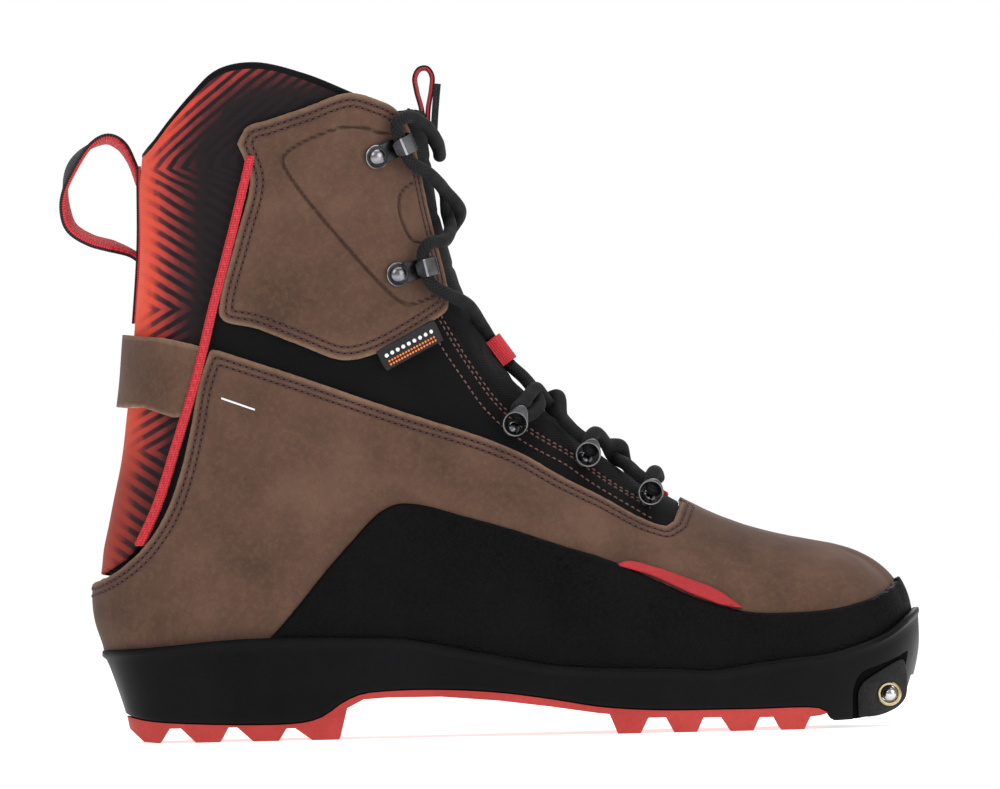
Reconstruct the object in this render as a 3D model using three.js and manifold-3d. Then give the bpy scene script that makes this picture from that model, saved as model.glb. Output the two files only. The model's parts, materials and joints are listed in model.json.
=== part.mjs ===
// Cross country ski boot for a right foot, ankle high, laced, with a toe bar under the tip.
// Millimetres, +Z up, toe towards +X, outer side of the foot towards -Y, floor at z = 0.
//
// The upper is one smooth shape seen as a half-width over its side view. Every layer of it is
// a shell at some depth of that shape, cut to the outline that the piece has from the side.
import * as THREE from "three";
import { mergeVertices } from "three/addons/utils/BufferGeometryUtils.js";
import Module from "manifold-3d";

const wasm = await Module();
wasm.setup();

// ---------------------------------------------------------------- driving dimensions

const TOE_TIP = 301.5; // front of the leather toe, from the heel seam of the sole
const TOE_ROUND = 47; // length of the rounded toe
const BACK_ROUND = 43; // depth over which heel and shaft round off at the back
const ROUNDNESS = 2.4; // exponent of the rounded sections, 2 is an ellipse
const TOE_SLIM = 1.04; // how much faster the toe closes than the instep
const SHELL_TOP = 262; // height where the shape is cut off, above every rim
const SHELL_FLOOR = -3;

const GAP = 0.35; // clearance between touching pieces
const LEATHER = [-1.8, 0]; // depths of each layer: inner face, outer face
const SOFTSHELL = [-3.6, -2.1];
const STIFFENER = [-4.1, -2.1];
const TONGUE = [-6.3, -4];
const COLLAR = [-6, -2.1];
const BINDING = [-6.2, -2.1];
const PIPING = [-1.8, 0.8];
const STRAP = [-1.8, 2.4];
const TAPE = [-1.8, -0.6];
const RAND = [0.35, 2];
const ACCENT = [0.35, 2.5];
const LINING = [-8.2, -6.6];
const PADDING = [-11, -6.6];
const BOARD_DEPTH = -4.5;
const FOOTBED_DEPTH = -8.7;
const SOLE_RIM = 5.2; // how far the sole stands out from the leather
const SOLE_WELL = 2.4;

const BOARD = [0.4, 2.4]; // heights over the lasting line
const LINING_FLOOR = [2.8, 4.2];
const FOOTBED = [4.6, 8.8];

const BAR = { x: 293.5, z: 12.2, radius: 2.8, length: 58 };
const BUSH = { radius: 4.5, length: 9 };
const LACE_RADIUS = 2.2;

const AROUND = 26; // facets round the boot
const RINGS = 12;

// ---------------------------------------------------------------- the shape of the boot

// A smooth curve value = f(t) through knots [t, value].
function graph(knots) {
  const slope = (i) => {
    const a = knots[Math.max(i - 1, 0)];
    const b = knots[Math.min(i + 1, knots.length - 1)];
    return (b[1] - a[1]) / (b[0] - a[0]);
  };
  return (t) => {
    const last = knots.length - 1;
    const at = Math.min(Math.max(t, knots[0][0]), knots[last][0]);
    let i = 0;
    while (i < last - 1 && at > knots[i + 1][0]) i += 1;
    const span = knots[i + 1][0] - knots[i][0];
    const u = (at - knots[i][0]) / span;
    const h = [2 * u ** 3 - 3 * u ** 2 + 1, u ** 3 - 2 * u ** 2 + u, 3 * u ** 2 - 2 * u ** 3, u ** 3 - u ** 2];
    return h[0] * knots[i][1] + h[1] * span * slope(i) + h[2] * knots[i + 1][1] + h[3] * span * slope(i + 1);
  };
}

// Points of a smooth side-view line through [x, z] points.
function smooth(points, step = 11) {
  const curve = new THREE.SplineCurve(points.map(([x, z]) => new THREE.Vector2(x, z)));
  const count = Math.max(2, Math.round(curve.getLength() / step));
  return curve.getSpacedPoints(count).map((p) => [p.x, p.y]);
}

const blendStep = (from, to, value) => THREE.MathUtils.smoothstep(value, from, to);
const mix = (a, b, t) => a + (b - a) * t;

// Back line of heel and shaft, x over z.
const backX = graph([
  [-10, 0], [33, 0], [47, -3.5], [58, -4], [70, -2], [85, 1.5], [104, 5.7], [122, 8.4],
  [156, 12.2], [186, 14.7], [218, 15.5], [240, 17.5], [262, 21],
]);

// Front line from the shaft down over instep and vamp, carried on past the toe.
const FRONT_LINE = smooth([
  [132, 264], [129, 245], [128.5, 228], [130, 210], [133.5, 190], [139.5, 169.5], [148.5, 149], [162, 130],
  [180, 114], [199, 99.5], [218, 87.5], [238, 78.5], [262, 71.5], [290, 69], [320, 68], [350, 67],
], 5);

// Depth over which the section rounds off below the front line.
const frontRound = graph([[120, 46], [140, 50], [170, 60], [205, 58], [250, 44], [290, 37], [320, 37]]);

// Lasting line: the bottom of the upper, z over x.
const lastZ = graph([[-20, 33], [60, 34], [105, 33], [150, 27], [200, 20.5], [240, 20], [275, 23], [320, 30]]);

// Half-width of the foot, over x, and of the shaft, over z.
const footHalf = graph([[-5, 34], [35, 35], [90, 37], [145, 43], [205, 49.5], [250, 48.5], [305, 44]]);
const shaftHalf = graph([[60, 36], [100, 37], [140, 40], [190, 44], [262, 49]]);

// Mid-line of the foot, y over x: the toe bends towards the inner side.
const midY = graph([[-10, 0], [120, 0], [200, 1], [305, 7]]);

function frontDistance(x, z) {
  let best = Infinity;
  for (let i = 0; i + 1 < FRONT_LINE.length; i += 1) {
    const [ax, az] = FRONT_LINE[i];
    const dx = FRONT_LINE[i + 1][0] - ax;
    const dz = FRONT_LINE[i + 1][1] - az;
    const t = THREE.MathUtils.clamp(((x - ax) * dx + (z - az) * dz) / (dx * dx + dz * dz), 0, 1);
    best = Math.min(best, Math.hypot(x - ax - t * dx, z - az - t * dz));
  }
  return best;
}

function bodyHalf(x, z) {
  const shaft = blendStep(60, 125, z) * (1 - blendStep(130, 190, x));
  return mix(footHalf(x), shaftHalf(z), shaft);
}

// 1 in the flat of the side view, falling to 0 on its outline.
function sectionInside(x, z) {
  const front = Math.max(0, 1 - frontDistance(x, z) / frontRound(x));
  const toe = Math.max(0, (x - TOE_TIP + TOE_ROUND) / TOE_ROUND);
  const back = Math.max(0, 1 - (x - backX(z)) / BACK_ROUND);
  return 1 - front ** ROUNDNESS - toe ** (ROUNDNESS * TOE_SLIM) - back ** ROUNDNESS;
}

function halfWidth(x, z) {
  const height = Math.max(z, lastZ(x));
  return bodyHalf(x, height) * Math.max(sectionInside(x, height), 0) ** (1 / ROUNDNESS);
}

// Outline of the side view from under the toe, round it and up the front of the shaft.
function frontOutline() {
  const points = [[TOE_TIP, SHELL_FLOOR], [TOE_TIP, 29]];
  for (let i = 1; i < 12; i += 1) {
    const along = Math.cos((i / 12) * Math.PI * 0.5) ** (2 / ROUNDNESS);
    const x = TOE_TIP - TOE_ROUND + TOE_ROUND * along;
    let low = 20;
    let high = 70;
    for (let turn = 0; turn < 30; turn += 1) {
      const middle = (low + high) / 2;
      const outside = sectionInside(x, middle) < 0;
      if (outside) high = middle;
      else low = middle;
    }
    points.push([x, low]);
  }
  const start = TOE_TIP - TOE_ROUND;
  const above = [...FRONT_LINE].reverse().filter(([x, z]) => x < start && z < SHELL_TOP);
  return [...points, ...above, [131.5, SHELL_TOP]];
}

// Side-view point at a fraction of the way along a polyline.
function along(points, fraction) {
  const lengths = points.map((p, i) => (i ? Math.hypot(p[0] - points[i - 1][0], p[1] - points[i - 1][1]) : 0));
  let left = fraction * lengths.reduce((a, b) => a + b, 0);
  for (let i = 1; i < points.length; i += 1) {
    if (left <= lengths[i] || i === points.length - 1) {
      const t = Math.min(left / lengths[i], 1);
      return [mix(points[i - 1][0], points[i][0], t), mix(points[i - 1][1], points[i][1], t)];
    }
    left -= lengths[i];
  }
  return points[0];
}

// Rings of surface points from the floor to the top; each goes back, outer side, front, inner side.
function surfaceRings() {
  const front = frontOutline().filter(([, z]) => z > 22);
  const rings = [];
  for (let k = 0; k <= RINGS; k += 1) {
    const up = Math.max(0, (k - 1) / (RINGS - 1));
    const backHeight = mix(33, SHELL_TOP, up ** 1.15);
    const [frontX, frontZ] = along(front, up);
    const ring = [];
    for (let i = 0; i < AROUND; i += 1) {
      const turn = (i / AROUND) * 2 * Math.PI;
      const across = (1 - Math.cos(turn)) / 2;
      const x = mix(backX(backHeight), frontX, across);
      const chord = mix(backHeight, frontZ, across);
      const sag = (lastZ(x) - mix(33, front[0][1], across)) * (1 - up) ** 3;
      const z = k === 0 ? SHELL_FLOOR : chord + sag;
      const side = i === 0 || i === AROUND / 2 ? 0 : -Math.sign(Math.sin(turn));
      ring.push(new THREE.Vector3(x, midY(x) + side * halfWidth(x, z), z));
    }
    rings.push(ring);
  }
  return rings;
}

const SURFACE = surfaceRings();

// Outward direction at each surface point, from its neighbours.
const NORMALS = SURFACE.map((ring, k) => ring.map((point, i) => {
  const next = ring[(i + 1) % AROUND];
  const before = ring[(i + AROUND - 1) % AROUND];
  const above = SURFACE[Math.min(k + 1, RINGS)][i];
  const below = SURFACE[Math.max(k - 1, 0)][i];
  const up = new THREE.Vector3().subVectors(above, below);
  const normal = new THREE.Vector3().subVectors(next, before).cross(up).normalize();
  if (k < 2) normal.setZ(0).normalize();
  if (k === RINGS) normal.setZ(0).normalize();
  return normal;
}));

// ---------------------------------------------------------------- solids

function solidOf(geometry) {
  const plain = geometry.clone();
  plain.deleteAttribute("normal");
  if (plain.attributes.uv) plain.deleteAttribute("uv");
  const merged = mergeVertices(plain, 1e-4);
  return new wasm.Manifold(new wasm.Mesh({
    numProp: 3,
    vertProperties: Float32Array.from(merged.attributes.position.array),
    triVerts: Uint32Array.from(merged.index.array),
  }));
}

function geometryOf(solid) {
  const { vertProperties, triVerts } = solid.getMesh();
  const geometry = new THREE.BufferGeometry();
  geometry.setAttribute("position", new THREE.BufferAttribute(vertProperties, 3));
  geometry.setIndex(new THREE.BufferAttribute(triVerts, 1));
  geometry.computeVertexNormals();
  return geometry;
}

// The whole boot shape, grown by a depth along its normals, as one closed solid.
const grown = new Map();
function bootAt(depth) {
  if (grown.has(depth)) return grown.get(depth);
  const positions = [];
  SURFACE.forEach((ring, k) => ring.forEach((point, i) => {
    const moved = point.clone().addScaledVector(NORMALS[k][i], depth);
    if (k === 0) moved.z = SHELL_FLOOR;
    if (k === RINGS) moved.z = SHELL_TOP;
    positions.push(moved.x, moved.y, moved.z);
  }));
  const index = [];
  const at = (k, i) => k * AROUND + ((i + AROUND) % AROUND);
  for (let k = 0; k < RINGS; k += 1) {
    for (let i = 0; i < AROUND; i += 1) {
      index.push(at(k, i), at(k, i + 1), at(k + 1, i + 1), at(k, i), at(k + 1, i + 1), at(k + 1, i));
    }
  }
  for (let i = 0; i < AROUND / 2; i += 1) {
    const bottom = [at(0, i), at(0, -i), at(0, -i - 1), at(0, i + 1)];
    const top = [at(RINGS, i), at(RINGS, i + 1), at(RINGS, -i - 1), at(RINGS, -i)];
    for (const [a, b, c, d] of [bottom, top]) {
      if (a !== b) index.push(a, b, c);
      if (c !== d) index.push(a, c, d);
    }
  }
  const geometry = new THREE.BufferGeometry();
  geometry.setAttribute("position", new THREE.Float32BufferAttribute(positions, 3));
  geometry.setIndex(index);
  const solid = solidOf(geometry);
  grown.set(depth, solid);
  return solid;
}

// A side-view outline as a slab across the boot, from y = from to y = to.
function slab(outline, from = -90, to = 90) {
  const shape = new THREE.Shape(outline.map(([x, z]) => new THREE.Vector2(x, z)));
  const geometry = new THREE.ExtrudeGeometry(shape, { depth: to - from, bevelEnabled: false });
  geometry.rotateX(Math.PI / 2).translate(0, to, 0);
  return solidOf(geometry);
}

// The layer between two depths, cut to a side-view outline.
function layer([inner, outer], outline, from, to) {
  return bootAt(outer).subtract(bootAt(inner)).intersect(slab(outline, from, to));
}

function box(x, y, z) {
  const geometry = new THREE.BoxGeometry(x[1] - x[0], y[1] - y[0], z[1] - z[0]);
  geometry.translate((x[0] + x[1]) / 2, (y[0] + y[1]) / 2, (z[0] + z[1]) / 2);
  return solidOf(geometry);
}

// The lasting line from heel to toe, raised.
function lastLine(raise) {
  const points = [];
  for (let x = -20; x <= 330; x += 10) points.push([x, lastZ(x) + raise]);
  return points;
}

const boot = new THREE.Group();

const LOOKS = {
  leather: { color: 0x6e5546, roughness: 0.85, metalness: 0 },
  black_fabric: { color: 0x1c1b1d, roughness: 0.9, metalness: 0 },
  print_fabric: { color: 0xb5402a, roughness: 0.9, metalness: 0 },
  lining: { color: 0x2a2a2c, roughness: 0.95, metalness: 0 },
  webbing: { color: 0xc8323a, roughness: 0.8, metalness: 0 },
  rubber: { color: 0x1d1d1d, roughness: 0.75, metalness: 0 },
  red_rubber: { color: 0xc94f4a, roughness: 0.6, metalness: 0 },
  foam: { color: 0x3a3a3e, roughness: 0.9, metalness: 0 },
  board: { color: 0xb9a98c, roughness: 0.9, metalness: 0 },
  gunmetal: { color: 0x4a4a4c, roughness: 0.4, metalness: 0.9 },
  steel: { color: 0xb4b4b4, roughness: 0.3, metalness: 1 },
  brass: { color: 0x9a8350, roughness: 0.4, metalness: 0.9 },
  cord: { color: 0x161616, roughness: 0.85, metalness: 0 },
};

function add(name, solid, look) {
  const geometry = solid.isBufferGeometry ? solid : geometryOf(solid);
  const mesh = new THREE.Mesh(geometry, new THREE.MeshStandardMaterial(LOOKS[look]));
  mesh.name = name;
  boot.add(mesh);
  return mesh;
}

// Adds a piece on the outer side (-Y) and its mirror place on the inner side.
const SIDES = [["lateral", -1], ["medial", 1]];
const sideSpan = (sign, clear = 0.5) => (sign < 0 ? [-90, -clear] : [clear, 90]);

// ---------------------------------------------------------------- outlines, side view

const RIM = smooth([
  [6, 217], [14, 220], [20, 225], [27, 233], [36, 242.5], [46, 251], [60, 253.5], [80, 249],
  [100, 241], [118, 233.5], [140, 225],
]);
const rim = (drop) => RIM.map(([x, z]) => [x, z - drop]);

// Middle of the piping from the rim down to the heel.
const PIPE_LINE = smooth([[62, 236], [57, 217.5], [49.5, 189], [42.5, 163], [35.5, 134], [28.5, 111], [21, 88.5], [14, 74]]);
const pipe = (shift) => PIPE_LINE.map(([x, z]) => [x + shift, z]);

const CUFF_OUTLINE = smooth([
  [54.5, 223], [58, 229], [66, 231.5], [79, 235.5], [97, 241], [107, 238.5], [114, 235], [119, 228],
  [122, 216], [125, 200], [128.5, 184], [132, 168], [132, 160], [127, 156], [104, 143.5], [92, 141.5],
  [77, 147], [60, 154], [47, 157.8], [46.5, 164], [53, 187], [59, 209], [57, 217], [54.5, 223],
], 6);

const LOWER_TOP = smooth([
  [-12, 58], [-3, 60.5], [7, 65.5], [16, 73.5], [24, 85], [30, 100], [34.5, 117], [38, 134], [42.5, 146.5],
]).concat(smooth([
  [46, 146], [76, 135.5], [113, 122], [143, 112], [158, 105.5], [173, 96.5], [188, 88.5], [203, 80], [211, 77],
]), [[214.5, 79], [217.5, 86]]);

const TONGUE_EDGE = smooth([
  [132, 158], [137, 149], [144, 138], [151, 128], [159, 120], [168, 113.5], [178, 107.3], [190, 98.3], [207.5, 87],
]);

const RAND_TOP = smooth([
  [60, 36], [66, 42], [74, 51], [84, 63], [95, 75], [104, 84], [111, 87.3], [120, 86.8], [135, 82.5],
  [152, 77.5], [172, 70.5], [190, 64.5], [205, 57.5], [220, 50.5], [231, 46.5], [242, 44], [258, 43.5],
  [273, 44.5], [287, 48], [295, 52.5], [300, 58], [312, 60],
]);

const ACCENT_OUTLINE = [
  ...smooth([[192, 62.5], [196, 64], [206, 61.5], [218, 57], [230, 52], [240, 44.8]]),
  ...smooth([[230, 47.2], [219, 51.7], [205, 58.5], [192, 62.5]]),
].slice(0, -1);

// Top line of the sole rim.
const SOLE_TOP = smooth([
  [-12, 34], [2, 35], [20, 36], [45, 38], [63, 38.5], [90, 38], [111, 37], [126, 34.5], [140, 31.5],
  [155, 28.5], [168, 26], [190, 24.5], [210, 23.8], [228, 22.8], [240, 24.5], [256, 26.5], [271, 28],
  [284, 31.5], [294, 35.5], [303, 42], [312, 50],
]);

// Line between the black sole and the red outsole.
const SOLE_SEAM = smooth([
  [6, 11], [14, 8.8], [30, 7.2], [74, 6.7], [82, 9], [89, 13.8], [96, 16.8], [106, 17.8], [126, 17.9],
  [148, 16.3], [167, 13.5], [185, 10.3], [206, 8.6], [240, 8.2], [268, 7.6], [271, 5.5],
]);

// ---------------------------------------------------------------- sole

const NOTCH_HALF = 14; // open middle of the toe bar
const BAR_POCKET = [
  [280.5, 4.5], [281, 16], [284.5, 20], [291.5, 22.5], [299.5, 26], [301.5, 20], [302, 12], [299, 2], [281, 2],
];
const POCKET_FLOOR = 24; // half-width of the toe block between the two pockets
const SHANK = { from: 48, to: 172, half: 11, top: -1.4, bottom: -3 };

function cylinderY(x, z, radius, from, to, segments = 16) {
  const geometry = new THREE.CylinderGeometry(radius, radius, to - from, segments);
  geometry.translate(x, (from + to) / 2, z);
  return geometry;
}

// A strip along the lasting line over the waist of the sole.
function shankBand(bottom, top, clear) {
  return slab([...lastLine(bottom), ...lastLine(top).reverse()])
    .intersect(box([SHANK.from - clear, SHANK.to + clear], [-SHANK.half - clear, SHANK.half + clear], [-5, 70]));
}

function soleUnit() {
  const outline = [
    ...SOLE_TOP,
    [312, 30], [305.5, 24], [302.5, 14], [299.5, 8], [295.5, 5.2], [290, 4], [284, 3.2], [273, 2.8], [271.3, 5.5],
    ...[...SOLE_SEAM].reverse().slice(1).map(([x, z]) => [x, z + GAP / 2]),
    [3, 22], [0, 33], [-12, 33],
  ];
  const well = bootAt(SOLE_WELL).intersect(slab([...lastLine(-GAP), [330, 90], [-20, 90]]));
  const shank = shankBand(SHANK.bottom - GAP, SHANK.top + 10, GAP);
  const middle = midY(BAR.x);
  let unit = bootAt(SOLE_RIM).intersect(slab(outline)).subtract(well).subtract(shank);
  unit = unit.subtract(slab(BAR_POCKET, -80, middle - POCKET_FLOOR));
  unit = unit.subtract(slab(BAR_POCKET, middle + POCKET_FLOOR, 80));
  unit = unit.subtract(box([284, 320], [middle - NOTCH_HALF, middle + NOTCH_HALF], [-5, 19]));
  const bore = solidOf(cylinderY(BAR.x, BAR.z, BAR.radius + GAP, middle - 40, middle + 40));
  const seat = BAR.length / 2 - BUSH.length;
  const bushSeats = [[middle - 40, middle - seat], [middle + seat, middle + 40]]
    .map(([from, to]) => solidOf(cylinderY(BAR.x, BAR.z, BUSH.radius + GAP, from, to)));
  return bushSeats.reduce((solid, cut) => solid.subtract(cut), unit.subtract(bore));
}

const LUG_TEETH = [
  [20.5, 0], [24, 5.4], [28.5, 5.4], [34, 0], [43, 0], [46, 5.4], [49.5, 5.4], [55.5, 0], [65, 0], [68, 4.6],
  [71.2, 4.6], [77.5, 0], [87.5, 0], [90.5, 11.5], [97, 14.8], [106, 15.3], [126, 15.2], [148, 13.2],
  [167, 10.6], [184, 7.9], [188.5, 7.4], [191.5, 0], [200, 0], [203, 5.7], [209.5, 5.7], [212.5, 0],
  [221, 0], [223.5, 5.3], [230, 5.3], [233.5, 0], [242, 0], [244.5, 4.9], [250, 4.9], [252.5, 0], [261, 0],
  [263.5, 4.7], [267, 5],
];
const GROOVE_Y = 15; // two long guide grooves
const GROOVE_HALF = 3;
const GROOVE_DEPTH = 4;

function outsole() {
  const outline = [...SOLE_SEAM.slice(0, -1).map(([x, z]) => [x, z - GAP / 2]), ...[...LUG_TEETH].reverse(), [14.5, 1]];
  let rubber = bootAt(SOLE_RIM - 0.4).intersect(slab([...outline, [8, 6.5]]));
  for (const y of [-GROOVE_Y, GROOVE_Y]) {
    rubber = rubber.subtract(box([27, 88], [y - GROOVE_HALF, y + GROOVE_HALF], [-5, GROOVE_DEPTH]));
    rubber = rubber.subtract(box([190, 262], [y - GROOVE_HALF, y + GROOVE_HALF], [-5, GROOVE_DEPTH]));
  }
  return rubber;
}

function toeBar() {
  const half = BAR.length / 2;
  const bevel = 1.2;
  const profile = [
    [0, -half], [BAR.radius - bevel, -half], [BAR.radius, -half + bevel],
    [BAR.radius, half - bevel], [BAR.radius - bevel, half], [0, half],
  ];
  const geometry = new THREE.LatheGeometry(profile.map(([r, y]) => new THREE.Vector2(r, y)), 16);
  geometry.translate(BAR.x, midY(BAR.x), BAR.z);
  return solidOf(geometry);
}

function barBush(sign) {
  const outer = BAR.length / 2 - 2;
  const inner = BAR.length / 2 - BUSH.length + GAP;
  const span = [sign * inner, sign * outer].map((y) => midY(BAR.x) + y).sort((a, b) => a - b);
  const sleeve = solidOf(cylinderY(BAR.x, BAR.z, BUSH.radius, span[0], span[1]));
  return sleeve.subtract(solidOf(cylinderY(BAR.x, BAR.z, BAR.radius + GAP, span[0] - 1, span[1] + 1)));
}

add("outsole", outsole(), "red_rubber");
add("sole_unit", soleUnit(), "rubber");
add("toe_bar", toeBar(), "steel");
for (const [side, sign] of SIDES) add(`toe_bar_bush_${side}`, barBush(sign), "brass");
add("shank", shankBand(SHANK.bottom, SHANK.top, 0), "steel");

// ---------------------------------------------------------------- inside of the boot

const plate = (depth, [bottom, top]) => bootAt(depth).intersect(
  slab([...lastLine(bottom), ...lastLine(top).reverse()]),
);

const COUNTER_TOP = [[-15, 52], [-2, 56], [12, 61], [24, 68], [34, 74], [52, 76], [62, 62], [74, 46], [80, 38]];
const PUFF_BACK = [[262, 29], [258, 45], [262, 80]];

// Front edge of everything that lines the shaft, behind the tongue.
const LINING_FRONT = smooth([[94, 268], [94, 235], [92, 200], [96, 165], [108, 138], [132, 112], [160, 90], [196, 74], [222, 66]]);

function lining() {
  const foot = [...lastLine(LINING_FLOOR[0]), [330, 62], [228, 62], ...[...LINING_FRONT].reverse(), [-20, 268]];
  const hollow = [...lastLine(LINING_FLOOR[1]), [330, 300], [-20, 300]];
  const body = bootAt(LINING[1]).intersect(slab(foot)).subtract(bootAt(LINING[0]).intersect(slab(hollow)));
  return body.intersect(box([-30, 340], [-90, 90], [0, 196]));
}

function padding() {
  const outline = [[-20, 197], [91, 197], [93, 200], [94, 238], ...rim(4).filter(([x]) => x < 94).reverse(), [-20, 214]];
  return layer(PADDING, outline);
}

add("insole_board", plate(BOARD_DEPTH, BOARD), "board");
add("footbed", plate(FOOTBED_DEPTH, FOOTBED), "foam");
add("heel_counter", layer(STIFFENER, [...lastLine(0.5).filter(([x]) => x < 85), ...[...COUNTER_TOP].reverse()]), "board");
add("toe_puff", layer(STIFFENER, [...lastLine(0.5).filter(([x]) => x > 262), [330, 80], ...[...PUFF_BACK].reverse()]), "board");
add("lining", lining(), "lining");
add("collar_padding", padding(), "foam");

// ---------------------------------------------------------------- upper

const CUFF_FRONT = [[122, 218], [124.5, 203], [127, 190], [130, 172], [131, 163]];

// Black stretch panel of one side, from the rim down to under the lower leather.
function softshell(sign) {
  const underLeather = LOWER_TOP.filter(([x, z]) => x > 45 && x < 200).map(([x, z]) => [x, z - 9]).reverse();
  const outline = [
    ...rim(3).filter(([x]) => x > 63 && x < 121), ...CUFF_FRONT, ...TONGUE_EDGE, [207, 78],
    ...underLeather, [41, 120], [34, 98], [24, 81], ...[...pipe(0.3)].reverse().filter(([, z]) => z < 233),
  ];
  return layer(SOFTSHELL, outline, ...sideSpan(sign));
}

function collarRear() {
  const outline = [
    [-12, 61.5], [-3, 64], [7, 69], [13, 75], ...[...pipe(-0.3)].reverse(),
    ...rim(3).filter(([x]) => x < 61).reverse(), [-12, 214],
  ];
  return layer(COLLAR, outline);
}

function binding() {
  return layer(BINDING, [...rim(0), ...rim(2.6).reverse()]).intersect(box([-20, 105], [-90, 90], [200, 262]));
}

const bottomEdge = [[330, 100], [330, 31], ...[...lastLine(0)].reverse()];
add("lower_leather", layer(LEATHER, [...LOWER_TOP, [219, 100], ...bottomEdge]), "leather");
for (const [side, sign] of SIDES) {
  const span = sideSpan(sign);
  add(`cuff_leather_${side}`, layer(LEATHER, CUFF_OUTLINE.slice(0, -1), ...span), "leather");
  add(`softshell_${side}`, softshell(sign), "black_fabric");
  add(`piping_${side}`, layer(PIPING, [
    ...pipe(-1.7).filter(([, z]) => z < 219), ...pipe(1.7).filter(([, z]) => z < 219).reverse(),
  ], ...span), "webbing");
  add(`rand_accent_${side}`, layer(ACCENT, ACCENT_OUTLINE, ...span), "red_rubber");
}
add("collar_rear", collarRear(), "print_fabric");
add("collar_binding", binding(), "black_fabric");
const STRAP_FRONT = pipe(-2.2).filter(([, z]) => z < 148 && z > 122);
add("heel_strap", layer(STRAP, [
  [-10, 126.5], [-10, 151], [10, 152.5], [24, 151.5], [36, 148.5], ...STRAP_FRONT, [29, 121.5], [18, 125.5],
]), "leather");

// The rubber band round the foot, cut back round the accent strips.
function rand() {
  const band = layer(RAND, [...RAND_TOP, [330, 60], [330, 31], ...[...lastLine(0)].reverse()]);
  const shifts = [[0, 0], [GAP, 0], [-GAP, 0], [0, GAP], [0, -GAP]];
  return shifts.reduce((solid, [dx, dz]) => (
    solid.subtract(slab(ACCENT_OUTLINE.map(([x, z]) => [x + dx, z + dz])))
  ), band);
}
add("rand", rand(), "rubber");

// ---------------------------------------------------------------- hardware

// A point over the surface of the upper, and the direction out of it.
function onSurface(x, z, side, lift) {
  const at = (px, pz) => new THREE.Vector3(px, midY(px) + side * halfWidth(px, pz), pz);
  const forward = at(x + 0.5, z).sub(at(x - 0.5, z));
  const up = at(x, z + 0.5).sub(at(x, z - 0.5));
  const normal = forward.cross(up).normalize();
  if (normal.y * side < 0) normal.negate();
  return { point: at(x, z).addScaledVector(normal, lift), normal };
}

// Turns a geometry made with u, v, out along X, Y, Z into its place on the boot.
function placed(geometry, { point, normal }, lean) {
  const u = new THREE.Vector3(Math.cos(lean), 0, Math.sin(lean));
  u.addScaledVector(normal, -u.dot(normal)).normalize();
  const v = new THREE.Vector3().crossVectors(normal, u);
  const frame = new THREE.Matrix4().makeBasis(u, v, normal).setPosition(point);
  return geometry.applyMatrix4(frame);
}

const HOOKS = [
  { name: "upper", x: 106, z: 217, lean: 0.38 },
  { name: "lower", x: 113, z: 173, lean: 0.22 },
];
const HOOK = { disc: 4.5, plate: 1, half: 4, reach: 13.4, channel: 5.4, lip: 7 };
const RIVET = { radius: 3.4, height: 1.6 };
const SEAT = 0.7; // clearance under the hardware on the curved leather

// Base disc with a tab that folds back over the lace.
function lacehook() {
  const disc = new THREE.CylinderGeometry(HOOK.disc, HOOK.disc, HOOK.plate, 16);
  disc.rotateX(Math.PI / 2).translate(0, 0, HOOK.plate / 2);
  const over = HOOK.plate + HOOK.channel;
  const profile = [
    [2, 0], [HOOK.reach, 0], [HOOK.reach + 1, 1], [HOOK.reach + 1, over + 0.4], [HOOK.reach, over + 1],
    [HOOK.lip, over + 1], [HOOK.lip, over], [HOOK.reach, over], [HOOK.reach, HOOK.plate], [2, HOOK.plate],
  ];
  const shape = new THREE.Shape(profile.map(([u, out]) => new THREE.Vector2(u, out)));
  const tab = new THREE.ExtrudeGeometry(shape, { depth: 2 * HOOK.half, bevelEnabled: false });
  tab.rotateX(Math.PI / 2).translate(0, HOOK.half, 0);
  return geometryOf(solidOf(disc).add(solidOf(tab)));
}

function rivetHead(radius = RIVET.radius) {
  const profile = [[0, 0], [radius, 0], [radius * 0.8, RIVET.height * 0.75], [0, RIVET.height]];
  const geometry = new THREE.LatheGeometry(profile.map(([r, y]) => new THREE.Vector2(r, y)), 10);
  return geometry.rotateX(Math.PI / 2);
}

const EYELETS = [
  { name: "top", x: 154.5, z: 114.5 },
  { name: "middle", x: 181, z: 101.5 },
  { name: "bottom", x: 204, z: 86.5 },
];
const RING = { outer: 5.4, inner: 3.2, half: 1.4, lift: 4.4 };

// Upright ring that the lace goes through, on a foot that is riveted down.
function eyeletRing() {
  const shape = new THREE.Shape().absarc(0, 0, RING.outer, 0, 2 * Math.PI, false);
  shape.holes.push(new THREE.Path().absarc(0, 0, RING.inner, 0, 2 * Math.PI, true));
  const geometry = new THREE.ExtrudeGeometry(shape, { depth: 2 * RING.half, bevelEnabled: false, curveSegments: 8 });
  return geometry.translate(0, 0, -RING.half);
}

const FOOT = { back: 6, down: 6, disc: 3.8, plate: 1, strap: 2, rivet: 2.6, seat: 1.5 };

function footDisc(foot) {
  const disc = new THREE.CylinderGeometry(FOOT.disc, FOOT.disc, FOOT.plate, 12);
  return solidOf(placed(disc.rotateX(Math.PI / 2).translate(0, 0, FOOT.plate / 2), foot, 0));
}

// Flat bar from beside the rivet, in the foot, up to the ring.
function footStrap(foot, target) {
  const start = foot.point.clone().addScaledVector(foot.normal, FOOT.plate / 2);
  const aside = new THREE.Vector3().subVectors(target, start).projectOnPlane(foot.normal).normalize();
  start.addScaledVector(aside, FOOT.rivet + GAP);
  const along = new THREE.Vector3().subVectors(target, start);
  const length = along.length();
  along.normalize();
  const across = new THREE.Vector3().crossVectors(foot.normal, along).normalize();
  const out = new THREE.Vector3().crossVectors(along, across);
  const bar = new THREE.BoxGeometry(length, 2 * FOOT.strap, FOOT.plate).translate(length / 2, 0, 0);
  return solidOf(bar.applyMatrix4(new THREE.Matrix4().makeBasis(along, across, out).setPosition(start)));
}

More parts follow.
